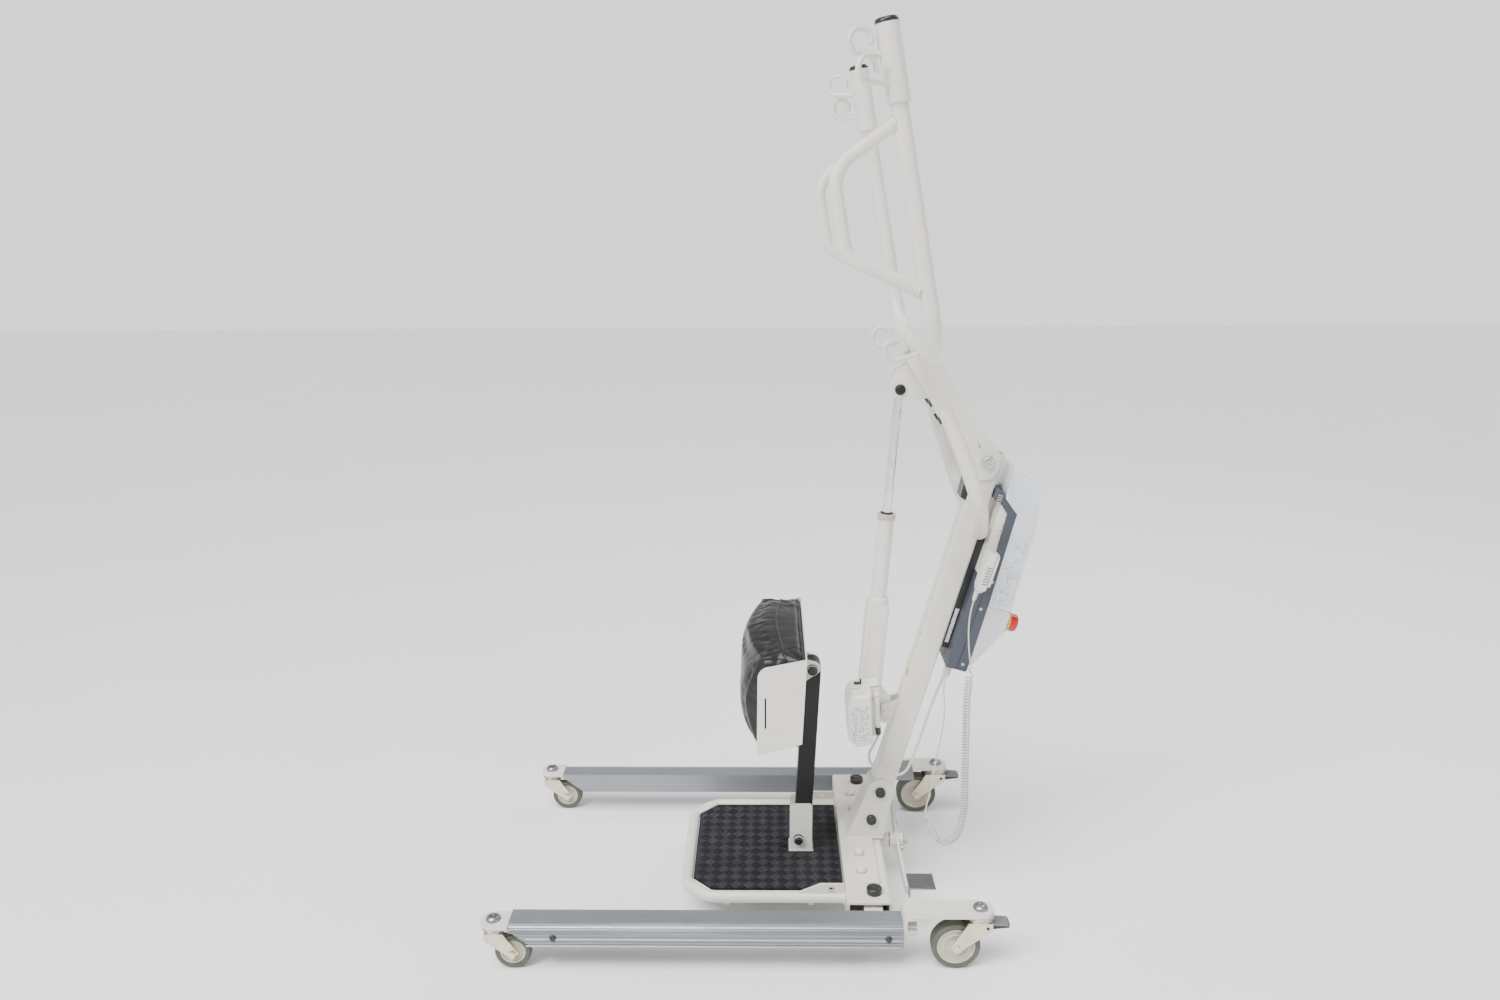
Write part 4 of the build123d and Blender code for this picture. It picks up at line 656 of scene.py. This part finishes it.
# ---- wheels and castors
Castor = namedtuple("Castor", "x y radius trail half top race cap")
CASTORS = {"front": Castor(-0.559, 0.317, 0.0375, 0.038, 0.0125, 0.0967, 0.022, 0.1063),
           "rear": Castor(0.427, 0.308, 0.05, -0.048, 0.016, 0.1217, 0.027, 0.1303)}


def wheel(end, tag, side):
    castor = CASTORS[end]
    radius, half = castor.radius, castor.half
    rim, dish = radius - 0.011, half - 0.0045
    ridge = 0.58 * rim
    centre = (castor.x + castor.trail, side * castor.y, radius)
    body = f"wheel_{end}_{tag}"
    tread = mirrored([(rim, -half + 0.001), (radius - 0.004, -half), (radius - 0.0005, -half + 0.003),
                      (radius, -0.0024), (radius - 0.0012, -0.0016)])
    tyre = lathe(f"tyre_{end}_{tag}", tread, (0, 1, 0), centre, "tyre", body, round_to=0.0012, steps=72)
    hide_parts(f"castor_wheel_{end}_{tag}")
    core = mirrored([(0.0056, -half + 0.001), (0.0105, -half + 0.001), (0.0125, -dish), (ridge, -dish),
                     (ridge + 0.0006, -dish - 0.0018), (ridge + 0.0026, -dish - 0.0018),
                     (ridge + 0.0032, -dish), (rim - 0.006, -dish), (rim - 0.004, -half + 0.0018),
                     (rim, -half + 0.0018)])
    lathe(f"wheel_core_{end}_{tag}", core, (0, 1, 0), centre, "wheel_core", body, 0.0008, 64)
    for outward in (-1, 1):
        word = "in" if outward * side < 0 else "out"
        face = Vector(centre) + Vector((0, outward * (half - 0.0008), 0))
        lathe(f"wheel_bearing_{word}_{end}_{tag}", ring_profile(0.0062, 0.0098, 0.0016), (0, outward, 0),
              face, "zinc", body, round_to=0.0004)


def castor_trim(end, tag, side):
    """Ball race lips under the crown and the cap of the stem's bolt."""
    castor = CASTORS[end]
    x, y = castor.x, side * castor.y
    lips = [ring_points((x, y, castor.top - drop), UP, castor.race + out - 0.0004, 56)
            for drop, out in ((0.0016, 0.0006), (0.0066, 0.0012), (0.0105, -0.0016))]
    beads(f"castor_race_{end}_{tag}", lips, 0.0011, "zinc", f"swivel_{end}_{tag}", steps=10, closed=True)
    cap = [(0.0001, 0.009), (0.006, 0.0088), (0.0125, 0.0066), (0.015, 0.0025), (0.0152, 0.0), (0.0001, 0.0)]
    lathe(f"castor_cap_{end}_{tag}", cap, UP, (x, y, castor.cap), "steel", f"leg_{tag}")


def brake_trim(tag, side):
    """Ribbed rubber tread and a red mark on the brake pedal."""
    body = f"brake_{tag}"
    place = shift(0.466, side * CASTORS["rear"].y, 0.1007) @ spin(3, "Y")
    work = bmesh.new()
    soft_box_into(work, place, (0.034, 0.031, 0.0035), 0.0012)
    for k in range(5):
        soft_box_into(work, place @ shift(-0.012 + 0.006 * k, 0, 0.0022), (0.0026, 0.029, 0.0018), 0.0006)
    from_bmesh(f"brake_tread_{tag}", work, "grip_rubber", body)
    boxes(f"brake_mark_{tag}", [(place @ shift(0.0185, 0, -0.0005), (0.003, 0.024, 0.004))],
          "red_plastic", body, edge=0.0008)


# ---- legs
LEG_OUT = 0.345    # outer face of a leg
LEG_SKIN = 0.3452


def leg_trim(tag, side):
    """Ribs along the extrusion's shoulder, zinc strips on its wall that paint in its highlight lines, and two
    plugs.
    """
    body = f"leg_{tag}"
    ribs = [[(x, side * (LEG_OUT - inset), z) for x in (-0.524, 0.2695)]
            for inset, z in ((0.0009, 0.092), (0.003, 0.0965), (0.0062, 0.1003), (0.0105, 0.1033),
                             (0.0155, 0.1053))]
    beads(f"leg_ribs_{tag}", ribs, 0.0009, "anodised", body)
    # zinc strips along the wall's lower lip: painted highlights where the lip catches the light
    highlight_strips = [(shift(-0.112, side * LEG_SKIN, z), (0.755, 0.0008, 0.0022)) for z in (0.064, 0.0795)]
    boxes(f"leg_highlight_lines_{tag}", highlight_strips, "zinc", body, 0.0003)
    plug = [(0.0001, 0.0042), (0.004, 0.004), (0.0062, 0.003), (0.0068, 0.0), (0.0001, 0.0)]
    for spot, x in (("front", -0.434), ("rear", 0.24)):
        lathe(f"leg_plug_{spot}_{tag}", plug, (0, side, 0), (x, side * LEG_SKIN, 0.083),
              "black_plastic", body, steps=32)


for tag, side in SIDES:
    for end in CASTORS:
        wheel(end, tag, side)
        castor_trim(end, tag, side)
    brake_trim(tag, side)
for tag, side in SIDES:
    leg_trim(tag, side)


# ---- welds, caps and bolts
def weld(name, points, body, radius, closed=False):
    beads(name, [points], radius, "cream_coat", body, ripple=0.16, closed=closed)


def ring_weld(name, centre, axis, around, count, body, radius):
    """A weld round a tube of that radius."""
    weld(name, ring_points(centre, axis, around, count), body, radius, True)


def base_trim():
    for tag, side in SIDES:
        # caps over the leg pivots, the top plate's nuts and the mast foot's bolts
        dome(f"pivot_cap_{tag}", (0.22, side * 0.236, 0.1262), UP, 0.0163, 0.0045, "black_plastic", "base")
        for number, y in enumerate((0.0975, 0.166)):
            dome(f"nut_cap_{tag}_{number}", (0.1996, side * y, 0.1225), UP, 0.0098, 0.013,
                 "cream_plastic", "base")
        for number, s in enumerate((0.018, 0.088)):
            dome(f"foot_cap_{tag}_{number}", on_mast(s, -0.003, side * 0.0392), (0, side, 0), 0.0113,
                 0.0042, "black_plastic", "base")
            lathe(f"foot_washer_{tag}_{number}", ring_profile(0.0112, 0.015, 0.0016), (0, side, 0),
                  on_mast(s, -0.003, side * 0.0311), "cream_coat", "base", round_to=0.0004)
        ring_weld(f"footplate_weld_{tag}", (0.1615, side * 0.193, 0.077), (1, 0, 0), 0.0136, 44, "base",
                  0.0024)
        for spot, xs, y, z, radius in (("foot", (0.178, 0.259), 0.0318, 0.1215, 0.0024),
                                       ("plate", (0.162, 0.234), 0.2094, 0.1168, 0.002)):
            weld(f"{spot}_weld_{tag}", path_points([(x, side * y, z) for x in xs]), "base", radius)
        for spot, s in (("low", 0.2465), ("high", 0.3075)):
            ends = [on_mast(s, -0.0255, side * y) for y in (0.0125, 0.0185)]
            weld(f"ear_weld_{spot}_{tag}", path_points(ends, 0.0016), "base", 0.0016)
    weld("plate_weld_rear", path_points([(0.2352, y, 0.1166) for y in (-0.207, 0.207)]), "base", 0.002)


def arm_trim():
    for tag, side in SIDES:
        for spot, z, rise, lean in (("high", 1.642, -0.01, (-0.82, 0, -0.57)),
                                    ("low", 1.352, 0.0035, (-0.92, 0, 0.39))):
            ring_weld(f"grip_weld_{spot}_{tag}", on_arm(z, side) + Vector((-0.0165, 0, rise)), lean,
                      0.0128, 40, "boom", 0.0022)
        ring_weld(f"boom_weld_{tag}", (ARM_FOOT[0], side * 0.0345, ARM_FOOT[1]), (0, 1, 0), 0.0166, 52,
                  "boom", 0.0026)
        ring_weld(f"sleeve_weld_{tag}", on_arm(1.67, side), (-sin(ARM_LEAN), 0, cos(ARM_LEAN)), 0.018,
                  52, "boom", 0.002)
        # black head of the actuator's upper pin
        dome(f"yoke_bolt_{tag}", (YOKE_PIN[0], side * 0.0192, YOKE_PIN[1]), (0, side, 0), 0.0112, 0.0078,
             "black_coat", "boom")
        dome(f"shaft_cap_{tag}", (BOOM_PIVOT[0], side * 0.0402, BOOM_PIVOT[1]), (0, side, 0), 0.0132,
             0.0034, "zinc", "base")


def knee_trim():
    for tag, side in SIDES:
        dome(f"knee_pivot_cap_{tag}", (KNEE_PIVOT[0], side * 0.0246, KNEE_PIVOT[1]), (0, side, 0), 0.0127,
             0.01, "black_plastic", "knee_pad")
        dome(f"knee_base_cap_{tag}", (0.068, side * 0.0246, 0.1137), (0, side, 0), 0.0117, 0.0135,
             "black_plastic", "base")
    # grip flutes round the plunger's knob
    centre = on_knee(-0.3, 0.0, 0.039)
    spokes = [centre + Vector((x, 0, z)) * 0.0138 for x, z in circle(1, 12)]
    flutes = [[spoke + Vector((0, y, 0)) for y in (-0.0065, 0.005)] for spoke in spokes]
    beads("plunger_flutes", flutes, 0.0014, "black_plastic", "knee_plunger")


base_trim()
arm_trim()
knee_trim()


# ---- footplate mat
MAT_FRONT, MAT_REAR, MAT_HALF, MAT_CUT, MAT_TOP = -0.165, 0.16, 0.179, 0.044, 0.084
WEAVE_CELL, WEAVE_STRANDS = 0.0205, 3
CLEVIS = (0.044, 0.104, 0.029)    # front, rear and half width of the knee post's foot, left bare


def strand_into(work, place, length, width, height):
    """One flat strand of the weave, which swells up between its four edges."""
    grid = [[work.verts.new(place @ Vector((u * length / 2, v * width / 2, height * (abs(u * v) < 0.5))))
             for v in (-1, -0.55, 0.55, 1)] for u in (-1, -0.8, 0.8, 1)]
    for a, b in zip(grid, grid[1:]):
        for k in range(3):
            work.faces.new((a[k], b[k], b[k + 1], a[k + 1]))
    work.faces.new(grid[0] + [row[3] for row in grid[1:3]] + grid[3][::-1] + [grid[2][0], grid[1][0]])


def mat_walls(inset):
    """Planes round the mat's outline, that far in from its edges."""
    walls = [((MAT_REAR - inset, 0, 0), (1, 0, 0)), ((MAT_FRONT + inset, 0, 0), (-1, 0, 0)),
             ((0, MAT_HALF - inset, 0), (0, 1, 0)), ((0, inset - MAT_HALF, 0), (0, -1, 0))]
    for _, side in SIDES:
        normal = Vector((-1, side, 0)).normalized()
        walls.append((Vector((MAT_FRONT + MAT_CUT, side * MAT_HALF, 0)) - normal * inset, normal))
    return walls


def woven_mat():
    """Raised basket weave, laid on the diagonal: three strands one way, then three the other."""
    turn = spin(45, "Z")
    strand = WEAVE_CELL / WEAVE_STRANDS
    # the strands that run across take the lighter mat look: a painted highlight on one weave direction
    for across, name, look in ((0, "mat_weave_along", "mat_rubber"), (1, "mat_weave_across", "mat_worn")):
        work = bmesh.new()
        quarter = spin(90 * across, "Z")
        for i, j in product(range(-14, 15), repeat=2):
            centre = turn @ Vector((i * WEAVE_CELL, j * WEAVE_CELL, 0))
            if (i + j) % 2 != across or abs(centre.x) > MAT_HALF + 0.006 or abs(centre.y) > MAT_HALF + 0.016:
                continue
            place = Matrix.Translation(centre + Vector((0, 0, MAT_TOP + 0.0001))) @ turn @ quarter
            for k in range(WEAVE_STRANDS):
                off = (k - (WEAVE_STRANDS - 1) / 2) * strand
                strand_into(work, place @ shift(0, off, 0), WEAVE_CELL * 0.95, strand * 0.86, 0.0016)
        for spot, normal in mat_walls(0.003):
            geom = work.verts[:] + work.edges[:] + work.faces[:]
            bmesh.ops.bisect_plane(work, geom=geom, plane_co=spot, plane_no=normal, clear_outer=True)
        hidden = [v for v in work.verts if CLEVIS[0] < v.co.x < CLEVIS[1] and abs(v.co.y) < CLEVIS[2]]
        bmesh.ops.delete(work, geom=hidden, context="VERTS")
        from_bmesh(name, work, look, "base", smooth=False)


def plate_rim():
    """Cream bars that cut off the front corners, and the eyelets of the hanger plates."""
    for tag, side in SIDES:
        bar = [(-0.172, side * 0.135, 0.083), (-0.121, side * 0.186, 0.083)]
        beads(f"corner_bar_{tag}", [bar], 0.003, "cream_coat", "base", steps=10)
        lathe(f"hanger_eyelet_{tag}", ring_profile(0.0042, 0.0064, 0.0012), (0, side, 0),
              (0.133, side * 0.1991, 0.1), "zinc", "base", round_to=0.0003)


woven_mat()
plate_rim()


# ---- actuator
def actuator_trim():
    body = "actuator_body"
    # panel let into both sides of the housing
    for tag, side in SIDES:
        place = shift(*on_actuator(0.15, 0.0, side * 0.0232)) @ Matrix.Rotation(ACTUATOR_LEAN, 4, "Y")
        border = [(place @ shift(x, 0, 0), (0.0018, 0.0012, 0.12)) for x in (-0.0155, 0.0155)]
        border += [(place @ shift(0, 0, z), (0.033, 0.0012, 0.0018)) for z in (-0.06, 0.06)]
        boxes(f"actuator_panel_{tag}", border, "cream_plastic", body, edge=0.0005)
    screw_up = Vector((sin(ACTUATOR_LEAN), 0, cos(ACTUATOR_LEAN)))
    ring = [(0.0186, -0.01), (0.0196, -0.01), (0.0196, 0.0012), (0.0108, 0.0012), (0.0108, 0.0002),
            (0.0186, 0.0002)]
    lathe("guide_ring", ring, screw_up, on_actuator(0.452), "wheel_core", body, 0.0005)
    wiper = [(0.0102, 0.0), (0.0135, 0.0), (0.0125, 0.0035), (0.0102, 0.004)]
    lathe("rod_wiper", wiper, screw_up, on_actuator(0.4533), "black_plastic", body, round_to=0.0004)
    collar = [(0.0178, -0.003), (0.0235, -0.003), (0.0225, 0.006), (0.0178, 0.009)]
    lathe("housing_collar", collar, screw_up, on_actuator(0.259), "cream_plastic", body, round_to=0.0008)
    # type label on the motor's near end
    label_place = shift(0.1955, -0.1143, 0.439) @ spin(-3, "Y")
    boxes("motor_label", [(label_place, (0.038, 0.0006, 0.082))], "label", body)
    # seam round the motor, between its body and its end shell
    seam = path_points([(0.1775, -0.0702, 0.5005), (0.2385, -0.0702, 0.5075)], 0.004)
    beads("motor_seam", [seam], 0.0009, "grip_rubber", body)
    # black clip on the motor's front top edge
    clip = shift(0.193, -0.048, 0.5055)
    clips = [(clip, (0.016, 0.006, 0.004)), (clip @ shift(0.0065, 0, 0.0045), (0.004, 0.006, 0.009))]
    boxes("motor_clip", clips, "black_plastic", body, edge=0.0008)
    # gland where the lead leaves the motor, and the sleeve at its lower end
    gland = [(0.0051, 0.0), (0.0098, 0.0), (0.0098, 0.006), (0.0078, 0.009), (0.0066, 0.014), (0.0051, 0.015)]
    lathe("lead_gland", gland, (0, -1, 0), (0.232, -0.0701, 0.486), "cream_plastic", body, round_to=0.0006)
    lead_end = Vector((0.237, -0.086, 0.404))
    run = (lead_end - Vector((0.234, -0.089, 0.44))).normalized()
    lathe("lead_sleeve", ring_profile(0.0051, 0.0062, 0.017), run, lead_end - run * 0.0175, "black_plastic",
          body, round_to=0.0004)


actuator_trim()


# ---- control box and handset
BOX_SIDE = 0.0521          # half width of the control box
BATTERY_RIDGE = ((0.586, 0.09), (0.778, 0.084), (0.826, 0.052), (0.866, 0.05), (0.866, 0.072),
                 (0.854, 0.098), (0.834, 0.111), (0.758, 0.121), (0.586, 0.129), (0.586, 0.09))
STOP_S, STOP_Y = 0.545, -0.018
HANDSET_Y = -0.0852


def box_trim():
    for tag, side in SIDES:
        wall = side * (BOX_SIDE + 0.0001)
        # printed panel on the battery's side, and the raised ridge that frames it
        boxes(f"battery_print_{tag}", [(mast_place(0.66, 0.107, wall), (0.0006, 0.026, 0.14))],
              "box_print", "battery")
        corners = [on_mast(s, t, side * BOX_SIDE) for s, t in BATTERY_RIDGE]
        beads(f"battery_ridge_{tag}", [path_points(corners, 0.006)], 0.0008, "pale_blue_plastic",
              "battery", steps=6)
        # screws of the box
        screw = [(0.0001, 0.001), (0.0014, 0.001), (0.0016, 0.0002), (0.0022, 0.0002), (0.0024, 0.0014),
                 (0.0036, 0.001), (0.0038, 0.0), (0.0001, 0.0)]
        for number, (s, t) in enumerate(((0.436, 0.074), (0.566, 0.072), (0.63, 0.076))):
            lathe(f"box_screw_{tag}_{number}", screw, (0, side, 0), on_mast(s, t, side * 0.052), "zinc",
                  "base", steps=32)
        # parting line along the dark body
        parting = [on_mast(s, t, side * BOX_SIDE) for s, t in ((0.424, 0.064), (0.64, 0.0665))]
        beads(f"box_parting_{tag}", [path_points(parting, 0.01)], 0.0006, "black_plastic", "base", steps=6)
        # white printed strip on the rail
        boxes(f"rail_strip_{tag}", [(mast_place(0.505, 0.033, side * 0.0203), (0.0006, 0.008, 0.08))],
              "label", "base")
        # ribbed joint between the unit and the dark body
        ribs = [(mast_place(0.798 + 0.005 * k, 0.034, wall), (0.0012, 0.01, 0.0022)) for k in range(4)]
        boxes(f"unit_ribs_{tag}", ribs, "zinc", "base", 0.0004)
    # yellow collar and black bezel of the emergency stop
    stop = on_mast(STOP_S, 0.1366, STOP_Y)
    collar = [(0.0196, 0.0), (0.024, 0.0), (0.0232, 0.0096), (0.0196, 0.01)]
    lathe("stop_collar", collar, REAR_DIR, stop, "yellow_plastic", "base", 0.0006, 64)
    bezel = [(0.0241, -0.001), (0.0285, -0.001), (0.0272, 0.0036), (0.0241, 0.0042)]
    lathe("stop_bezel", bezel, REAR_DIR, stop, "black_plastic", "base", round_to=0.0005, steps=64)
    # three arrow ridges on the red button's face
    place = turned(REAR_DIR, on_mast(STOP_S, 0.1661, STOP_Y))
    arcs = []
    for k in range(3):
        angles = [2 * pi * k / 3 + a * 0.17 for a in range(8)]
        arcs.append([place @ Vector((0.0085 * cos(a), 0.0085 * sin(a), 0)) for a in angles])
    beads("stop_marks", arcs, 0.0007, "label", "stop_button", steps=6)
    # charge lights on the unit
    for number, look in enumerate(("yellow_plastic", "orange", "light_grey_plastic")):
        dome(f"unit_light_{number}", on_mast(0.752 - 0.012 * number, 0.0575, -0.0491), (0, -1, 0), 0.0022,
             0.0012, look, "base")


def squared_oval(wide, deep, count=40):
    """Points of an oval with square shoulders."""
    angles = [2 * pi * (k + 0.5) / count for k in range(count)]
    return [tuple(size * copysign(abs(part) ** 0.32, part) for size, part in ((wide, cos(a)), (deep, sin(a))))
            for a in angles]


def handset_casing():
    """Slim casing of the handset with a tapered foot, its hanging catch, and a face plate with wells."""
    # each section: s up the mast, t of its front and rear, half width
    sections = ((0.6122, 0.0385, 0.047, 0.013), (0.613, 0.0375, 0.0485, 0.0145),
                (0.6225, 0.0366, 0.0546, 0.0225), (0.625, 0.0362, 0.055, 0.023),
                (0.7015, 0.0362, 0.055, 0.023), (0.703, 0.0368, 0.0545, 0.0224),
                (0.7036, 0.038, 0.0533, 0.0212))
    work = bmesh.new()
    rings = []
    for s, front, rear, half in sections:
        place = mast_place(s, (front + rear) / 2, HANDSET_Y)
        rings.append([work.verts.new(place @ Vector((*point, 0)))
                      for point in squared_oval(half, (rear - front) / 2)])
    for low, high in zip(rings, rings[1:]):
        for k in range(len(low)):
            after = (k + 1) % len(low)
            work.faces.new((low[k], low[after], high[after], high[k]))
    work.faces.new(rings[0][::-1])
    work.faces.new(rings[-1])
    bmesh.ops.recalc_face_normals(work, faces=work.faces)
    soft_box_into(work, mast_place(0.679, 0.05, -0.0596), (0.0066, 0.01, 0.02), 0.0006)
    casing = from_bmesh("handset_casing", work, "cream_plastic", "base")
    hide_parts("handset_body")
    plate = bpy.data.curves.new("handset_face", "CURVE")
    plate.dimensions, plate.fill_mode = "2D", "BOTH"
    plate.extrude, plate.bevel_depth, plate.bevel_resolution, plate.offset = 0.0021, 0.0005, 2, -0.0005
    wells = [[(x, up + y) for x, y in circle(0.0096, 48)] for up in (0.0198, -0.0082)]
    for loop in [squared_oval(0.0212, 0.0362)] + wells:
        spline = plate.splines.new("POLY")
        spline.points.add(len(loop) - 1)
        spline.use_cyclic_u = True
        for point, (x, y) in zip(spline.points, loop):
            point.co = (x, y, 0, 1)
    flat = bpy.data.objects.new("handset_face_flat", plate)
    mesh = bpy.data.meshes.new_from_object(flat)
    bpy.data.objects.remove(flat)
    mesh.transform(mast_place(0.6642, 0.0574, HANDSET_Y) @ spin(90, "X"))
    piece("handset_face", mesh, "cream_plastic", "base", smooth=False)


def arrow(name, place, tip):
    """A small raised triangle, with its tip up or down."""
    wide = abs(tip) * 0.9
    flat = [Vector((x, 0, z)) for x, z in ((-wide, -tip * 0.6), (wide, -tip * 0.6), (0, tip * 0.8))]
    work = bmesh.new()
    low = [work.verts.new(place @ (v + Vector((0, -0.0002, 0)))) for v in flat]
    high = [work.verts.new(place @ (v * 0.9 + Vector((0, 0.0006, 0)))) for v in flat]
    work.faces.new(high)
    work.faces.new(low[::-1])
    for k in range(3):
        work.faces.new((low[k], low[(k + 1) % 3], high[(k + 1) % 3], high[k]))
    from_bmesh(f"{name}_arrow", work, "label", f"{name}_button", smooth=False)


def handset_trim():
    for name, s, tip in (("up", 0.684, 0.0042), ("down", 0.656, -0.0042)):
        arrow(name, mast_place(s, 0.0626, HANDSET_Y), tip)
        ring = [(0.0096, 0.0), (0.0112, 0.0), (0.0108, 0.001), (0.0096, 0.001)]
        lathe(f"{name}_ring", ring, REAR_DIR, on_mast(s, 0.06, HANDSET_Y), "grip_rubber", "base",
              0.0003)
    # grip ribs on both flanks, and the print below the buttons
    ribs = [(mast_place(0.635 + 0.006 * k, 0.046, y), (0.001, 0.012, 0.0024))
            for y in (-0.0622, -0.1082) for k in range(7)]
    boxes("handset_ribs", ribs, "grip_rubber", "base", edge=0.0004)
    boxes("handset_print", [(mast_place(0.6365, 0.0601, HANDSET_Y), (0.034, 0.0005, 0.011))], "label", "base")
    # rings moulded on the boot and the two plugs
    rings = [ring_points(on_mast(0.608 - 0.0045 * k, 0.042, HANDSET_Y), MAST_DIR, 0.0046 - 0.0003 * k, 28)
             for k in range(4)]
    rings += [ring_points(on_mast(0.415 - 0.005 * k, 0.053, y), MAST_DIR, 0.0059, 28)
              for y in (-0.034, -0.016) for k in range(4)]
    beads("plug_rings", rings, 0.0009, "cord_rubber", "base", closed=True)


def mast_trim():
    """Stickers and slots on the mast's front, and the push handle's welds."""
    front = -0.0253
    sticker = mast_place(0.372, front, -0.006) @ spin(45, "Y")
    boxes("mast_sticker", [(sticker, (0.017, 0.0006, 0.017))], "orange", "base")
    strip = mast_place(0.56, front, -0.01)
    boxes("mast_tick_strip", [(strip, (0.014, 0.0006, 0.15))], "tick_strip", "base")
    slots = [(mast_place(s, front + 0.0001, -0.018), (0.002, 0.001, 0.006)) for s in (0.44, 0.47, 0.62)]
    boxes("mast_slots", slots, "black_plastic", "base", edge=0.0003)
    for tag, side in SIDES:
        ring_weld(f"handle_weld_{tag}", (0.446, side * 0.026, 0.8395), (0, 1, 0), 0.0158, 44, "base", 0.0022)


def rocker_trim():
    """The rocker's zinc studs."""
    stud = [(0.0001, 0.01), (0.005, 0.0098), (0.0066, 0.008), (0.007, 0.0), (0.0001, 0.0)]
    for number, y in enumerate((-0.062, 0.048)):
        lathe(f"rocker_stud_{number}", stud, (1, 0, 0), (0.2952, y, 0.098 + 0.27 * abs(y)), "zinc", "rocker")


box_trim()
handset_casing()
handset_trim()
mast_trim()
rocker_trim()


# ---- looks of the CAD pieces
def dress_nodes():
    """Gives every CAD piece the look of its record slot."""
    for entry in frame["record"]["subparts"]:
        look = LOOKS[entry["material_slot"]]
        materials = frame["nodes"][entry["node"]].data.materials
        if not materials:
            materials.append(look)
        for index in range(len(materials)):
            materials[index] = look


dress_nodes()


# ---- stage, light and camera
def stage():
    work = bmesh.new()
    bmesh.ops.create_grid(work, x_segments=1, y_segments=1, size=14)
    floor = added("floor", to_mesh("floor", work))
    floor.location.z = -0.0005
    look = Look("floor", 0.55)
    floor.data.materials.append(look.done(look.mix(look.noise(2, 2), (0.9,) * 3, (0.94,) * 3)))


def area_light(name, spot, height, size, watts, colour=(1, 1, 1)):
    """A soft lamp that looks at that height of the lift."""
    lamp = bpy.data.lights.new(name, "AREA")
    lamp.energy, lamp.size, lamp.color = watts, size, colour
    made = added(name, lamp)
    made.location = spot
    made.rotation_euler = (Vector((0.1, 0, height)) - Vector(spot)).to_track_quat("-Z", "Y").to_euler()


def light():
    """A studio sky that is palest low down and behind the lift, a soft overhead and three soft lamps."""
    world = bpy.data.worlds.new("studio")
    world.use_nodes = True
    sky = Nodes(world.node_tree)
    towards = sky.node("SeparateXYZ", Vector=sky.node("TexCoord").outputs["Generated"]).outputs
    low_down = sky.span(towards[2], 0.19, 0.27, 1.1, 0.0)
    behind = sky.span(towards[1], 0.05, 0.45, 0.45, 1.0)
    colour, strength = sky.tree.nodes["Background"].inputs[:2]
    sky.feed(colour, (0.98, 0.985, 1.0, 1))
    sky.feed(strength, sky.calc("MULTIPLY_ADD", low_down, behind, 0.38))
    bpy.context.scene.world = world
    sun = bpy.data.lights.new("overhead", "SUN")
    sun.energy, sun.angle = 3.9, radians(38)
    added("overhead", sun).rotation_euler = (radians(22), radians(-14), 0)
    area_light("key", (-2.4, -2.2, 3.2), 0.7, 1.1, 120)
    area_light("fill", (2.8, -2.4, 1.8), 0.8, 1.8, 30, (0.95, 0.97, 1.0))
    area_light("back", (2.4, 1.9, 3.6), 0.9, 1.6, 60)


def camera():
    """The photograph's view: a wide lens at eye height, looking down a little."""
    lens = bpy.data.cameras.new("view")
    lens.sensor_width, lens.lens = 36, 26.4
    yaw, pitch, roll = -0.0164, 0.2456, -0.0059
    ahead = Vector((sin(yaw) * cos(pitch), cos(yaw) * cos(pitch), -sin(pitch)))
    right = Vector((cos(yaw), -sin(yaw), 0))
    up = right.cross(ahead)
    across, above = right * cos(roll) + up * sin(roll), up * cos(roll) - right * sin(roll)
    made = added("view", lens)
    made.matrix_world = shift(-0.001, -2.2677, 1.471) @ Matrix((across, above, -ahead)).transposed().to_4x4()
    bpy.context.scene.camera = made


stage()
light()
camera()
